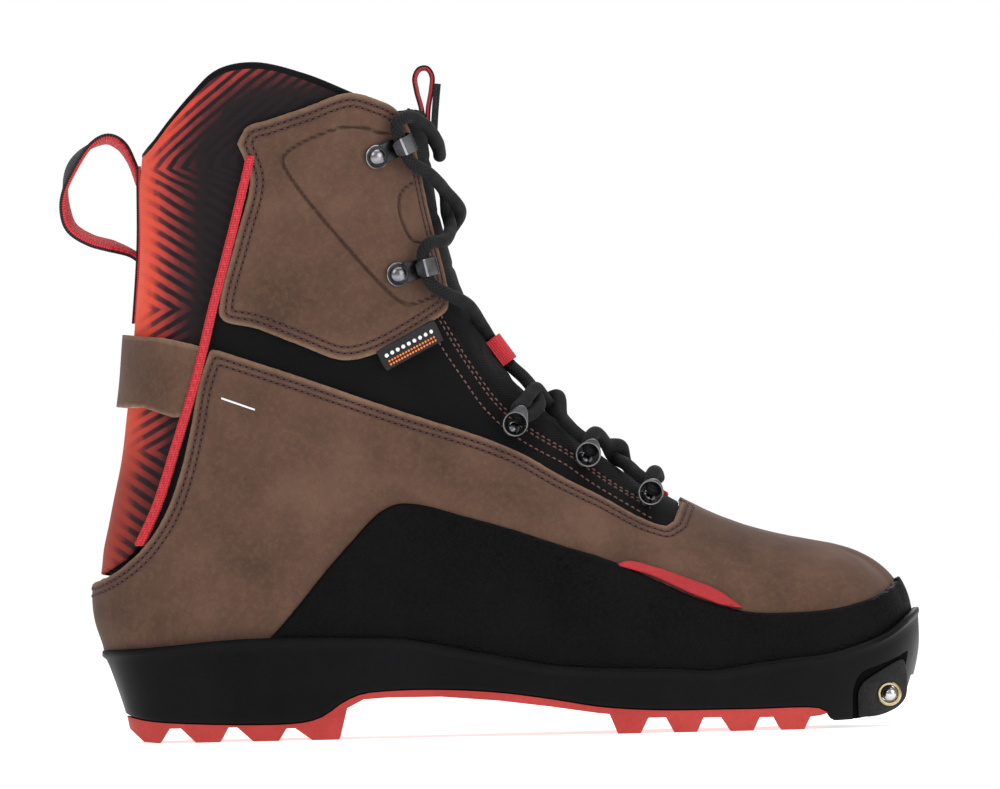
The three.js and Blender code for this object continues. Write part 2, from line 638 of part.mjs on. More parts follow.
for (const [side, sign] of SIDES) {
  for (const { name, x, z, lean } of HOOKS) {
    add(`lace_hook_${name}_${side}`, placed(lacehook(), onSurface(x, z, sign, SEAT), lean), "gunmetal");
    add(`hook_rivet_${name}_${side}`,
      placed(rivetHead(), onSurface(x, z, sign, SEAT + HOOK.plate + GAP), lean), "gunmetal");
  }
  for (const { name, x, z } of EYELETS) {
    const { point } = onSurface(x, z, sign, RING.lift);
    const ring = eyeletRing().rotateX(Math.PI / 2).translate(point.x, point.y, point.z);
    const foot = onSurface(x - FOOT.back, z - FOOT.down, sign, FOOT.seat);
    const rim = new THREE.Vector3(-0.55, 0, -0.83).multiplyScalar(RING.outer - 1).add(point);
    const eyelet = solidOf(ring).add(footDisc(foot)).add(footStrap(foot, rim));
    add(`lace_eyelet_${name}_${side}`, eyelet, "gunmetal");
    const head = { point: foot.point.clone().addScaledVector(foot.normal, FOOT.plate + GAP), normal: foot.normal };
    add(`eyelet_rivet_${name}_${side}`, placed(rivetHead(FOOT.rivet), head, 0), "gunmetal");
  }
}

// ---------------------------------------------------------------- lace

// One strand from the inner upper hook down to the middle of the lowest bar, [x, y, z].
// The other strand is its mirror image; where they cross it passes over by [dx, dz].
const STRAND = [
  [114.2, 43.9, 226.5], [116.4, 42.8, 221], [118.6, 41.7, 215.5], [125.8, 32, 210.5], [131.2, 17, 204.5],
  [132, 0, 196.5, 5, 0],
  [133.2, -17, 189.5], [130.6, -30.5, 185.5], [124.8, -39.5, 184], [122.8, -40.9, 180.5],
  [123.9, -40.6, 175.4], [125.1, -40.3, 170], [130.5, -37.5, 166], [138.8, -25.5, 161.5],
  [144, -9.5, 153.8], [147.6, -2.8, 147.7], [153.4, -2.8, 139.5], [161, -9, 131.8], [165.2, -20.5, 123],
  [160.5, -28.5, 118.8], [156.8, -32.6, 116.6], [155.9, -36.3, 116.1], [155.9, -39.2, 116.1],
  [155.9, -41.4, 117.8], [155.9, -41.9, 120.6], [155.9, -40.2, 123.4], [156.3, -36.6, 124.5],
  [158.8, -28.5, 127.5], [163.5, -17, 129.5], [167, -8, 125.5],
  [169.1, 0, 122.4, 3.1, 3.9],
  [173.5, 12, 118], [179.3, 24.5, 111.5], [182.1, 29, 105.8], [182.8, 32.6, 104.3], [182.8, 35.5, 104.3],
  [182.8, 37.7, 106], [182.8, 38.2, 108.8], [182.8, 36.5, 111.6], [183.2, 32.9, 112.7], [186, 22.5, 113.2],
  [189.8, 10, 108],
  [192.2, 0.8, 103.2, 3, 3.9],
  [197.3, -12, 100], [202, -23.5, 94.8], [204.9, -28, 91], [205.9, -31.3, 89.5], [205.9, -34.2, 89.5],
  [205.9, -36.4, 91.2], [205.9, -36.9, 94], [205.9, -35.2, 96.8], [206.3, -31.6, 98], [208, -17, 97.2],
  [209, 1.3, 95],
];

// Over the front of the tongue from the outer upper hook to where the ends meet.
const TOP_BAR = [
  [114.4, -43.6, 229.5], [118.5, -38.5, 231.8], [124.5, -28, 229], [129, -14, 222.5], [129.8, 0, 217.5],
  [129, 14, 221], [124.5, 28, 228], [118.5, 38.5, 232], [114.6, 43.6, 231], [114, 44, 227.2],
];

// A path whose steps fall on its own points, close together where it turns.
class Route extends THREE.CatmullRomCurve3 {
  getSpacedPoints(count) {
    return this.getPoints(count);
  }

  getTangentAt(t, target) {
    return this.getTangent(t, target);
  }
}

function lace() {
  const points = STRAND.map(([x, y, z]) => new THREE.Vector3(x, y, z));
  const back = STRAND.slice(0, -1).reverse().map(([x, y, z, dx = 0, dz = 0]) => (
    new THREE.Vector3(x + dx, 2 * midY(x) - y, z + dz)
  ));
  const route = new Route([...points, ...back, ...TOP_BAR.map(([x, y, z]) => new THREE.Vector3(x, y, z))]);
  const section = new THREE.Shape(Array.from({ length: 8 }, (_, i) => (
    new THREE.Vector2(LACE_RADIUS * Math.cos((i * Math.PI) / 4), LACE_RADIUS * Math.sin((i * Math.PI) / 4))
  )));
  return new THREE.ExtrudeGeometry(section, { steps: route.points.length - 1, extrudePath: route });
}
add("lace", lace(), "cord");

// ---------------------------------------------------------------- tongue, loops and trim

const TONGUE_PIVOT = [128, 151.6]; // where the upper tongue bends on the lower one
const TONGUE_BACK = smooth([[106, 262], [106, 225], [108, 200], [112, 175], [120, 152], [134, 130], [152, 109], [178, 88], [206, 70]]);

function tongue(upper) {
  const region = layer(TONGUE, [...TONGUE_BACK, [213, 70], [212, 90], [240, 110], [150, 262]]);
  const [x, z] = TONGUE_PIVOT;
  const cut = upper
    ? [[x - 28, z - 2.4], [x, z + GAP], [x + 32, z + 6.8], [160, 235.5], [125, 235.5], [100, 231.5]]
    : [[x - 28, z - 5.6], [x, z], [x + 32, z + 6.4], [260, 110], [220, 60], [120, 60]];
  return region.intersect(slab(cut));
}
add("tongue_lower", tongue(false), "black_fabric");
add("tongue_upper", tongue(true), "black_fabric");

// A band seen from the side: its middle line made thick, then given its width across the boot.
function webbingBand(line, thick, half, centre = 0) {
  const curve = new THREE.SplineCurve(line.map(([x, z]) => new THREE.Vector2(x, z)));
  const count = Math.round(curve.getLength() / 4);
  const outer = [];
  const inner = [];
  for (let i = 0; i <= count; i += 1) {
    const point = curve.getPointAt(i / count);
    const way = curve.getTangentAt(i / count);
    outer.push([point.x - way.y * thick / 2, point.y + way.x * thick / 2]);
    inner.push([point.x + way.y * thick / 2, point.y - way.x * thick / 2]);
  }
  return slab([...outer, ...inner.reverse()], centre - half, centre + half);
}

const HEEL_LOOP = [
  [12.1, 184], [7, 186], [-2, 188.8], [-8.8, 193.5], [-11, 200], [-10.8, 208], [-7.5, 217], [-1, 224],
  [5.5, 226.5], [10.5, 224], [12.1, 219.5],
];
const LOOP_NECK = 2; // half-width of the heel loop where it is sewn on
const TONGUE_LOOP = [
  [123.6, 237], [121.6, 242], [121.2, 247], [123, 250], [125.8, 250.2], [128, 247.5], [128, 242], [126.4, 237],
];
const necks = [[-9, -LOOP_NECK], [LOOP_NECK, 9]].map((y) => box([8, 20], y, [170, 240]));
add("heel_loop", necks.reduce((band, cut) => band.subtract(cut), webbingBand(HEEL_LOOP, 2.4, 5.5)), "webbing");
add("heel_loop_tape", layer(TAPE, [[-10, 158], [40, 158], [40, 216], [-10, 216]], -5.5, 5.5)
  .intersect(box([-20, 40], [-5.5, 5.5], [150, 220])), "webbing");
add("tongue_loop", webbingBand(TONGUE_LOOP, 1.4, 5), "webbing");

// Strap across the tongue that the two strands run under, square to them.
const KEEPER = { x: 148.1, z: 141.9, slope: 0.956, length: 11 };

function laceKeeper() {
  const arch = [
    [-7.9, 0.7], [-7, 5], [-4.5, 6.7], [4.5, 6.7], [7, 5], [7.9, 0.7],
    [6.6, 0.7], [5.8, 4.4], [4, 5.5], [-4, 5.5], [-5.8, 4.4], [-6.6, 0.7],
  ];
  const shape = new THREE.Shape(arch.map(([y, out]) => new THREE.Vector2(y, out)));
  const geometry = new THREE.ExtrudeGeometry(shape, { depth: KEEPER.length, bevelEnabled: false });
  geometry.translate(0, 0, -KEEPER.length / 2);
  const out = new THREE.Vector3(Math.sin(KEEPER.slope), 0, Math.cos(KEEPER.slope));
  const along = new THREE.Vector3(Math.cos(KEEPER.slope), 0, -Math.sin(KEEPER.slope));
  const frame = new THREE.Matrix4().makeBasis(new THREE.Vector3(0, 1, 0), out, along);
  return geometry.applyMatrix4(frame.setPosition(KEEPER.x, 0, KEEPER.z));
}
add("lace_keeper", laceKeeper(), "webbing");

add("side_label", layer([0.4, 1.2], [[104.5, 144.5], [126, 156], [129.5, 148], [108, 137]], ...sideSpan(-1)),
  "black_fabric");
add("throat_tab", layer([-3.6, -2.3], [[208, 78], [213.8, 78], [213.8, 97], [208, 97]])
  .intersect(box([200, 216], [-6, 8], [60, 110])), "webbing");

const { min, max } = new THREE.Box3().setFromObject(boot);
boot.position.set(-(min.x + max.x) / 2, -(min.y + max.y) / 2, -min.z);

export default boot;
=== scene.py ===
import json
import math
from itertools import chain

import bmesh
import bpy
import numpy as np
from mathutils import Matrix, Vector, noise
from mathutils.kdtree import KDTree

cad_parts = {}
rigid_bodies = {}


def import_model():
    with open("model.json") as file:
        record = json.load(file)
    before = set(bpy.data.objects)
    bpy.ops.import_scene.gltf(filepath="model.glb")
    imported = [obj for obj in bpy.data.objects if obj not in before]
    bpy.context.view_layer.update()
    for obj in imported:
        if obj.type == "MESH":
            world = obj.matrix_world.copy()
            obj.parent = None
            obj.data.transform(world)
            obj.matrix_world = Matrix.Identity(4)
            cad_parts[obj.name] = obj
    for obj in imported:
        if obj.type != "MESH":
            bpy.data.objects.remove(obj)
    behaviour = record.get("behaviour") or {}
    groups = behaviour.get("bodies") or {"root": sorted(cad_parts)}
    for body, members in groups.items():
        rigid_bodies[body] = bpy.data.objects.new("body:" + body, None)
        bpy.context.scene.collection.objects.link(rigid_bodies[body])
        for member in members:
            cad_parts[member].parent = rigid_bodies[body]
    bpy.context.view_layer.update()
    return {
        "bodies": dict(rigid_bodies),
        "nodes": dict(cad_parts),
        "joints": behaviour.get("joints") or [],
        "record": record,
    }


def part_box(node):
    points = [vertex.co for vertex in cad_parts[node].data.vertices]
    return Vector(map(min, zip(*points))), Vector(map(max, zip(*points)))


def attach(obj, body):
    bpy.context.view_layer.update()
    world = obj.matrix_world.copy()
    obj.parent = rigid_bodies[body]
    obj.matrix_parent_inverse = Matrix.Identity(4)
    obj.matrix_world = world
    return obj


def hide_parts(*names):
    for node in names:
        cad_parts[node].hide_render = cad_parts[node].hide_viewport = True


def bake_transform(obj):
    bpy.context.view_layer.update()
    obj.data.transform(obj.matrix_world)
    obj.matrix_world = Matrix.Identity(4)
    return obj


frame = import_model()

# The upper is built on one smooth surface, the same one that the CAD part uses: a half-width over
# the side view. Lengths are millimetres in the part's own frame, x = 0 at the heel seam and z = 0
# on the floor, until make() moves them into the row frame in metres.

# ---------------------------------------------------------------- shape of the boot


def graph(knots):
    """Smooth curve value = f(t) through knots (t, value)."""
    t, v = np.array(knots, float).T
    slope = np.gradient(v, t)
    slope[1:-1] = (v[2:] - v[:-2]) / (t[2:] - t[:-2])

    def at(x):
        x = np.clip(x, t[0], t[-1])
        i = np.clip(np.searchsorted(t, x, side="right") - 1, 0, len(t) - 2)
        span = t[i + 1] - t[i]
        u = (x - t[i]) / span
        return ((2 * u**3 - 3 * u**2 + 1) * v[i] + (u**3 - 2 * u**2 + u) * span * slope[i]
                + (3 * u**2 - 2 * u**3) * v[i + 1] + (u**3 - u**2) * span * slope[i + 1])

    return at


def spaced(points, step):
    """Points at even distances along a polyline."""
    points = np.asarray(points, float)
    length = np.concatenate([[0], np.cumsum(np.linalg.norm(np.diff(points, axis=0), axis=1))])
    at = np.linspace(0, length[-1], max(2, round(length[-1] / step) + 1))
    return np.column_stack([np.interp(at, length, points[:, k]) for k in range(points.shape[1])])


def smooth(points, step=1.0):
    """Even points along the smooth curve through some points."""
    p = np.array(points, float)
    p = np.vstack([2 * p[0] - p[1], p, 2 * p[-1] - p[-2]])
    gaps = np.maximum(np.linalg.norm(np.diff(p, axis=0), axis=1), 1e-6) ** 0.5
    u = np.linspace(0, 1, 16, endpoint=False)[:, None]
    parts = []
    for i in range(1, len(p) - 2):
        a, b, c = gaps[i - 1], gaps[i], gaps[i + 1]
        start = ((p[i] - p[i - 1]) / a - (p[i + 1] - p[i - 1]) / (a + b) + (p[i + 1] - p[i]) / b) * b
        end = ((p[i + 1] - p[i]) / b - (p[i + 2] - p[i]) / (b + c) + (p[i + 2] - p[i + 1]) / c) * b
        parts.append((2 * u**3 - 3 * u**2 + 1) * p[i] + (u**3 - 2 * u**2 + u) * start
                     + (3 * u**2 - 2 * u**3) * p[i + 1] + (u**3 - u**2) * end)
    return spaced(np.vstack([*parts, p[-2:-1]]), step)


def circle(count):
    """Angles evenly round a circle."""
    return np.linspace(0, 2 * math.pi, count, endpoint=False)


def smoothstep(low, high, value):
    t = np.clip((value - low) / (high - low), 0, 1)
    return t * t * (3 - 2 * t)


def mix(a, b, t):
    return a + (b - a) * t


TOE_TIP = 301.5
TOE_ROUND = 47
BACK_ROUND = 43
ROUNDNESS = 2.4
TOE_SLIM = 1.04
SHELL_TOP = 262
HEEL_FLOOR = 33

back_x = graph([
    (-10, 0), (33, 0), (47, -3.5), (58, -4), (70, -2), (85, 1.5), (104, 5.7), (122, 8.4),
    (156, 12.2), (186, 14.7), (218, 15.5), (240, 17.5), (262, 21)])
FRONT_LINE = smooth([
    (132, 264), (129, 245), (128.5, 228), (130, 210), (133.5, 190), (139.5, 169.5), (148.5, 149), (162, 130),
    (180, 114), (199, 99.5), (218, 87.5), (238, 78.5), (262, 71.5), (290, 69), (320, 68), (350, 67)], 5)
front_round = graph([(120, 46), (140, 50), (170, 60), (205, 58), (250, 44), (290, 37), (320, 37)])
last_z = graph([(-20, 33), (60, 34), (105, 33), (150, 27), (200, 20.5), (240, 20), (275, 23), (320, 30)])
foot_half = graph([(-5, 34), (35, 35), (90, 37), (145, 43), (205, 49.5), (250, 48.5), (305, 44)])
shaft_half = graph([(60, 36), (100, 37), (140, 40), (190, 44), (262, 49)])
mid_y = graph([(-10, 0), (120, 0), (200, 1), (305, 7)])


def front_distance(x, z):
    start, way = FRONT_LINE[:-1], np.diff(FRONT_LINE, axis=0)
    best = np.full(np.shape(x), np.inf)
    for (ax, az), (dx, dz) in zip(start, way):
        t = np.clip(((x - ax) * dx + (z - az) * dz) / (dx * dx + dz * dz), 0, 1)
        best = np.minimum(best, np.hypot(x - ax - t * dx, z - az - t * dz))
    return best


def inside_section(x, z):
    front = np.maximum(0, 1 - front_distance(x, z) / front_round(x))
    toe = np.maximum(0, (x - TOE_TIP + TOE_ROUND) / TOE_ROUND)
    back = np.maximum(0, 1 - (x - back_x(z)) / BACK_ROUND)
    return 1 - front**ROUNDNESS - toe ** (ROUNDNESS * TOE_SLIM) - back**ROUNDNESS


def half_width(x, z):
    x, z = np.asarray(x, float), np.asarray(z, float)
    z = np.maximum(z, last_z(x))
    shaft = smoothstep(60, 125, z) * (1 - smoothstep(130, 190, x))
    body = mix(foot_half(x), shaft_half(z), shaft)
    return body * np.maximum(inside_section(x, z), 0) ** (1 / ROUNDNESS)


def lift(line, side):
    """Side-view points put on the surface, side -1 for the outer side of the foot."""
    x, z = np.asarray(line, float).T
    return np.column_stack([x, mid_y(x) + side * half_width(x, z), z])


def front_outline():
    """From the toe, up round it and along the front of the shaft."""
    start = TOE_TIP - TOE_ROUND
    instep = FRONT_LINE[FRONT_LINE[:, 0] > start - TOE_ROUND]
    points = [(TOE_TIP, 22), (TOE_TIP, 29)]
    for i in range(1, 60):
        x = start + TOE_ROUND * math.cos(i / 60 * math.pi / 2) ** (2 / ROUNDNESS)
        low, high = 20.0, np.interp(x, *instep.T)
        for _ in range(24):
            middle = (low + high) / 2
            low, high = (low, middle) if inside_section(x, middle) < 0 else (middle, high)
        points.append((x, low))
    above = [p for p in FRONT_LINE[::-1] if p[0] < start and p[1] < SHELL_TOP]
    return smooth([*points, *above, (131.5, SHELL_TOP)])


AROUND = 320
RINGS = 210
CREST = 10  # columns each side of the front and back where the half-width follows its power law


def surface_grid():
    """Rings of surface points from the lasting line up, each going back, outer side, front, inner side."""
    outline = spaced(front_outline(), 1)
    up = np.linspace(0, 1, RINGS + 1)[:, None]
    place = up[:, 0] * (len(outline) - 1)
    front = [np.interp(place, np.arange(len(outline)), outline[:, k])[:, None] for k in (0, 1)]
    back = mix(HEEL_FLOOR, SHELL_TOP, up**1.15)
    turn = np.arange(AROUND) / AROUND * 2 * math.pi
    across = (1 - np.cos(turn)) / 2
    x = mix(back_x(back), front[0], across)
    sag = (last_z(x) - mix(HEEL_FLOOR, front[1][0], across)) * (1 - up) ** 3
    z = mix(back, front[1], across) + sag
    side = -np.sign(np.round(np.sin(turn), 9))
    half = half_width(x, z)
    for crest in (0, AROUND // 2):
        for i in range(1 - CREST, CREST):
            half[:, (crest + i) % AROUND] = half[:, crest + CREST] * (abs(i) / CREST) ** (2 / ROUNDNESS)
    return np.stack([x, mid_y(x) + side * half, z], axis=-1)


def unit(vectors):
    """Vectors scaled to length one; one with no length stays as it is."""
    return vectors / np.maximum(np.linalg.norm(vectors, axis=-1, keepdims=True), 1e-9)


GRID = surface_grid()
DOWN = np.vstack([GRID[:1], GRID[:-1]])
UP = np.vstack([GRID[1:], GRID[-1:]])
NORMAL = unit(np.cross(np.roll(GRID, -1, axis=1) - np.roll(GRID, 1, axis=1), UP - DOWN))


def on_surface(x, z, side, out):
    """A point over the surface and the direction out of it."""
    def at(px, pz):
        return Vector(lift([(px, pz)], side)[0])
    normal = (at(x + 0.5, z) - at(x - 0.5, z)).cross(at(x, z + 0.5) - at(x, z - 0.5)).normalized()
    if normal.y * side < 0:
        normal.negate()
    return at(x, z) + normal * out, normal


# ---------------------------------------------------------------- meshes

BAR_PLACE = np.array([293.5, mid_y(293.5), 12.2])
low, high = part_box("toe_bar")
SHIFT = (np.array(low) + np.array(high)) / 2 * 1000 - BAR_PLACE


def row(point):
    """Part millimetres to row-frame metres."""
    return (np.asarray(point, float) + SHIFT) / 1000


def make(name, shape, materials, sharp=40, numbers=None, kinds=None, body="root", slot=None, replaces=()):
    """A mesh piece from its shape, which is points in part millimetres and faces.

    numbers are named values at the points, for the materials; kinds are the faces' material numbers.
    """
    points, faces = shape
    mesh = bpy.data.meshes.new(name)
    mesh.from_pydata(row(points).tolist(), [], [list(map(int, f)) for f in faces])
    for material in materials:
        mesh.materials.append(material)
    for key, values in (numbers or {}).items():
        attribute = mesh.attributes.new(key, "FLOAT", "POINT")
        attribute.data.foreach_set("value", np.asarray(values, np.float32))
    if kinds is not None:
        mesh.polygons.foreach_set("material_index", np.asarray(kinds, np.int32))
    mesh.shade_smooth()
    if sharp < 180:
        mesh.set_sharp_from_angle(angle=math.radians(sharp))
    piece = bpy.data.objects.new(name, mesh)
    bpy.context.scene.collection.objects.link(piece)
    if body:
        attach(piece, body)
    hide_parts(*replaces)
    return piece


def outward(piece):
    """Makes a closed mesh's faces point out."""
    work = bmesh.new()
    work.from_mesh(piece.data)
    bmesh.ops.recalc_face_normals(work, faces=work.faces)
    work.to_mesh(piece.data)
    work.free()
    return piece


def solid(name, shape, materials, **options):
    """A closed piece whose faces are turned to point out."""
    return outward(make(name, shape, materials, **options))


def grid_faces(rows, columns, closed_rows=False, closed_columns=True):
    """Quads of a grid of points numbered row by row."""
    faces = []
    for r in range(rows if closed_rows else rows - 1):
        for c in range(columns if closed_columns else columns - 1):
            r2, c2 = (r + 1) % rows, (c + 1) % columns
            faces.append([r * columns + c, r * columns + c2, r2 * columns + c2, r2 * columns + c])
    return faces


def tube_faces(rings, size):
    """Quads between rings of points, and a cap over each end."""
    last = (rings - 1) * size
    return grid_faces(rings, size) + [list(range(size))[::-1], [last + k for k in range(size)]]


SNAP = 0.02  # a point this near to a cutting line counts as on it


class Patch:
    """Part of the surface: points, their outward directions, polygons and named numbers at the points."""

    def __init__(self, side=0):
        front = AROUND // 2
        columns = np.arange(*{0: (0, AROUND), -1: (1, front), 1: (front + 1, AROUND)}[side])
        self.side = side
        self.points = GRID[:, columns].reshape(-1, 3)
        self.normals = NORMAL[:, columns].reshape(-1, 3)
        self.polygons = grid_faces(RINGS + 1, len(columns), closed_columns=side == 0)
        self.numbers = {}

    def sides(self):
        return (-1, 1) if self.side == 0 else (self.side,)

    def near(self, line, reach=1e9):
        """Distance from every point to side-view lines lifted onto the surface."""
        samples = np.vstack([lift(spaced(line, 0.4), side) for side in self.sides()])
        tree = KDTree(len(samples))
        for i, sample in enumerate(samples):
            tree.insert(sample, i)
        tree.balance()
        return np.array([min(tree.find(p)[2], reach) for p in self.points])

    def over_polygons(self, values, combine):
        """A value for every polygon from those at its points; combine is np.minimum, np.maximum or np.add."""
        flat = np.fromiter(chain.from_iterable(self.polygons), int)
        sizes = np.fromiter(map(len, self.polygons), int)
        return combine.reduceat(values[flat], np.concatenate([[0], np.cumsum(sizes)[:-1]]))

    def keep(self, wanted):
        """Keeps the polygons with a wanted point."""
        touched = self.over_polygons(wanted.astype(int), np.maximum)
        used = [p for p, wants in zip(self.polygons, touched) if wants]
        index = np.unique(np.fromiter(chain.from_iterable(used), int))
        place = np.zeros(len(self.points), int)
        place[index] = np.arange(len(index))
        self.points, self.normals = self.points[index], self.normals[index]
        self.numbers = {k: v[index] for k, v in self.numbers.items()}
        self.polygons = [place[p].tolist() for p in used]
        return self

    def bound(self, outline):
        """Cuts the patch to a side-view outline; the number "edge" is then the distance in from it."""
        outline = np.array(outline, float)
        x, z = self.points[:, 0], self.points[:, 2]
        room = 8
        (left, bottom), (right, top) = outline.min(0) - room, outline.max(0) + room
        self.keep((x > left) & (x < right) & (z > bottom) & (z < top))
        x, z = self.points[:, 0], self.points[:, 2]
        inside = np.zeros(len(x), bool)
        for (ax, az), (bx, bz) in zip(outline, np.roll(outline, -1, axis=0)):
            if az != bz:
                inside ^= ((az > z) != (bz > z)) & (x < (bx - ax) * (z - az) / (bz - az) + ax)
        distance = self.near(np.vstack([outline, outline[:1]]))
        self.numbers["edge"] = np.where(inside, distance, -distance)
        return self.cut("edge", 0).trim("edge", 0)

    def cut(self, name, *levels):
        """Splits the polygons along lines where a number has given values."""
        for level in levels:
            value = self.numbers[name] - level
            value[np.abs(value) < SNAP] = 0
            lowest, highest = (self.over_polygons(value, f) for f in (np.minimum, np.maximum))
            crossed = (lowest < 0) & (highest > 0)
            polygons = [p for p, split in zip(self.polygons, crossed) if not split]
            made, rows = {}, []
            for polygon in (p for p, split in zip(self.polygons, crossed) if split):
                above, below = [], []
                for k, a in enumerate(polygon):
                    b = polygon[(k + 1) % len(polygon)]
                    if value[a] >= 0:
                        above.append(a)
                    if value[a] <= 0:
                        below.append(a)
                    if value[a] * value[b] < 0:
                        key = (min(a, b), max(a, b))
                        if key not in made:
                            made[key] = len(self.points) + len(rows)
                            share = value[key[0]] / (value[key[0]] - value[key[1]])
                            rows.append((*key, share))
                        above.append(made[key])
                        below.append(made[key])
                polygons += [p for p in (above, below) if len(p) > 2]
            if rows:
                a, b = (np.array([r[k] for r in rows]) for k in (0, 1))
                t = np.array([r[2] for r in rows])
                points = mix(self.points[a], self.points[b], t[:, None])
                normals = unit(mix(self.normals[a], self.normals[b], t[:, None]))
                self.points = np.vstack([self.points, points])
                self.normals = np.vstack([self.normals, normals])
                for k, v in self.numbers.items():
                    new = np.full(len(t), float(level)) if k == name else mix(v[a], v[b], t)
                    self.numbers[k] = np.concatenate([v, new])
            self.polygons = polygons
        return self

    def trim(self, name, level, above=True):
        """Keeps one side of a line that cut() has made."""
        total = self.over_polygons(self.numbers[name] - level, np.add) * (1 if above else -1)
        self.polygons = [p for p, share in zip(self.polygons, total) if share > 0]
        return self.keep(np.ones(len(self.points), bool))

    def lines(self, name, level):
        """The lines of points where a number has a value, as lists of point numbers in order."""
        on = np.abs(self.numbers[name] - level) < 1.05 * SNAP
        links = {}
        for p in self.polygons:
            for a, b in zip(p, p[1:] + p[:1]):
                if on[a] and on[b]:
                    links.setdefault(a, set()).add(b)
                    links.setdefault(b, set()).add(a)
        found = []
        while links:
            ends = [k for k, v in links.items() if len(v) == 1]
            at = ends[0] if ends else next(iter(links))
            line = [at]
            while links.get(at):
                following = min(links[at])
                links[at].discard(following)
                links[following].discard(at)
                line.append(following)
                at = following
            links = {k: v for k, v in links.items() if v}
            if len(line) > 3:
                found.append(line)
        return found

    def relief(self, name, at, depth, width):
        """Dent of a given depth along the line where a number has a value."""
        return -depth * np.exp(-(((self.numbers[name] - at) / width) ** 2))

    def wrinkles(self, size, height):
        return np.array([noise.noise(Vector(p) / size) for p in self.points]) * height


def shell(name, patch, outer, inner, materials, rounding=0.5, **options):
    """Closed piece from a patch, between an outer and an inner depth, with its outer edge rounded.

    The materials are those of the face, the edge and, where there is a third, the back.
    """
    patch.cut("edge", rounding)
    count = len(patch.points)
    outer = outer(patch) if callable(outer) else np.full(count, float(outer))
    edge = np.clip(patch.numbers["edge"] / rounding, 0, 1)
    patch.raised = outer
    top = patch.points + patch.normals * (outer - rounding * (1 - edge) ** 2)[:, None]
    bottom = patch.points + patch.normals * inner
    sides = dict.fromkeys(pair for p in patch.polygons for pair in zip(p, p[1:] + p[:1]))
    walls = [[b, a, a + count, b + count] for a, b in sides if (b, a) not in sides]
    faces = patch.polygons + [[i + count for i in p[::-1]] for p in patch.polygons] + walls
    wall, back = min(1, len(materials) - 1), 2 if len(materials) > 2 else 0
    kinds = [0] * len(patch.polygons) + [back] * len(patch.polygons) + [wall] * len(walls)
    numbers = {k: np.concatenate([v, v]) for k, v in patch.numbers.items()}
    return make(name, (np.vstack([top, bottom]), faces), materials, numbers=numbers, kinds=kinds, **options)


def sweep(line, section, up=None):
    """Tube along a line: section(i) gives points (across, out) at its point i, with out towards up."""
    line = np.asarray(line, float)
    along = unit(np.gradient(line, axis=0))
    if up is None:
        out = np.zeros_like(line)
        ahead = np.array([0.13, 0.21, 0.97])
        for i, way in enumerate(along):
            ahead = ahead - way * (ahead @ way)
            ahead /= np.linalg.norm(ahead)
            out[i] = ahead
    else:
        up = np.broadcast_to(np.asarray(up, float), line.shape)
        out = unit(up - along * (up * along).sum(1, keepdims=True))
    across = np.cross(along, out)
    rings = []
    for i, point in enumerate(line):
        part = np.asarray(section(i), float)
        rings.append(point + part[:, :1] * across[i] + part[:, 1:] * out[i])
    return np.vstack(rings), tube_faces(len(rings), len(rings[0]))


def joined(parts):
    """Several (points, faces) as one."""
    points, faces, start = [], [], 0
    for p, f in parts:
        points.append(p)
        faces += [[i + start for i in face] for face in f]
        start += len(p)
    return np.vstack(points), faces


def rounded(half, thick, corner, steps=3):
    """Section of a flat band with rounded corners, half its width by its thickness."""
    points = []
    for quarter, (sx, sy) in enumerate([(1, 1), (-1, 1), (-1, -1), (1, -1)]):
        for k in range(steps + 1):
            turn = (quarter + k / steps) * math.pi / 2
            points.append((sx * (half - corner) + corner * math.cos(turn),
                           sy * (thick / 2 - corner) + corner * math.sin(turn)))
    return np.array(points)


def lathe(profile, centre, axis, segments=40, closed=False):
    """Turned shape: profile points (radius, along the axis). A closed profile makes a ring without caps."""
    axis = Vector(axis).normalized()
    side = axis.orthogonal().normalized()
    other = axis.cross(side)
    points = []
    for r, h in profile:
        for k in range(segments):
            turn = k / segments * 2 * math.pi
            points.append(Vector(centre) + axis * h + (side * math.cos(turn) + other * math.sin(turn)) * r)
    if closed:
        return np.array(points), grid_faces(len(profile), segments, closed_rows=True)
    return np.array(points), tube_faces(len(profile), segments)


# ---------------------------------------------------------------- materials


def paint(code):
    """Linear colour from a six-digit display colour."""
    levels = [int(code[i:i + 2], 16) / 255 for i in (0, 2, 4)]
    return (*[c / 12.92 if c <= 0.04045 else ((c + 0.055) / 1.055) ** 2.4 for c in levels], 1)


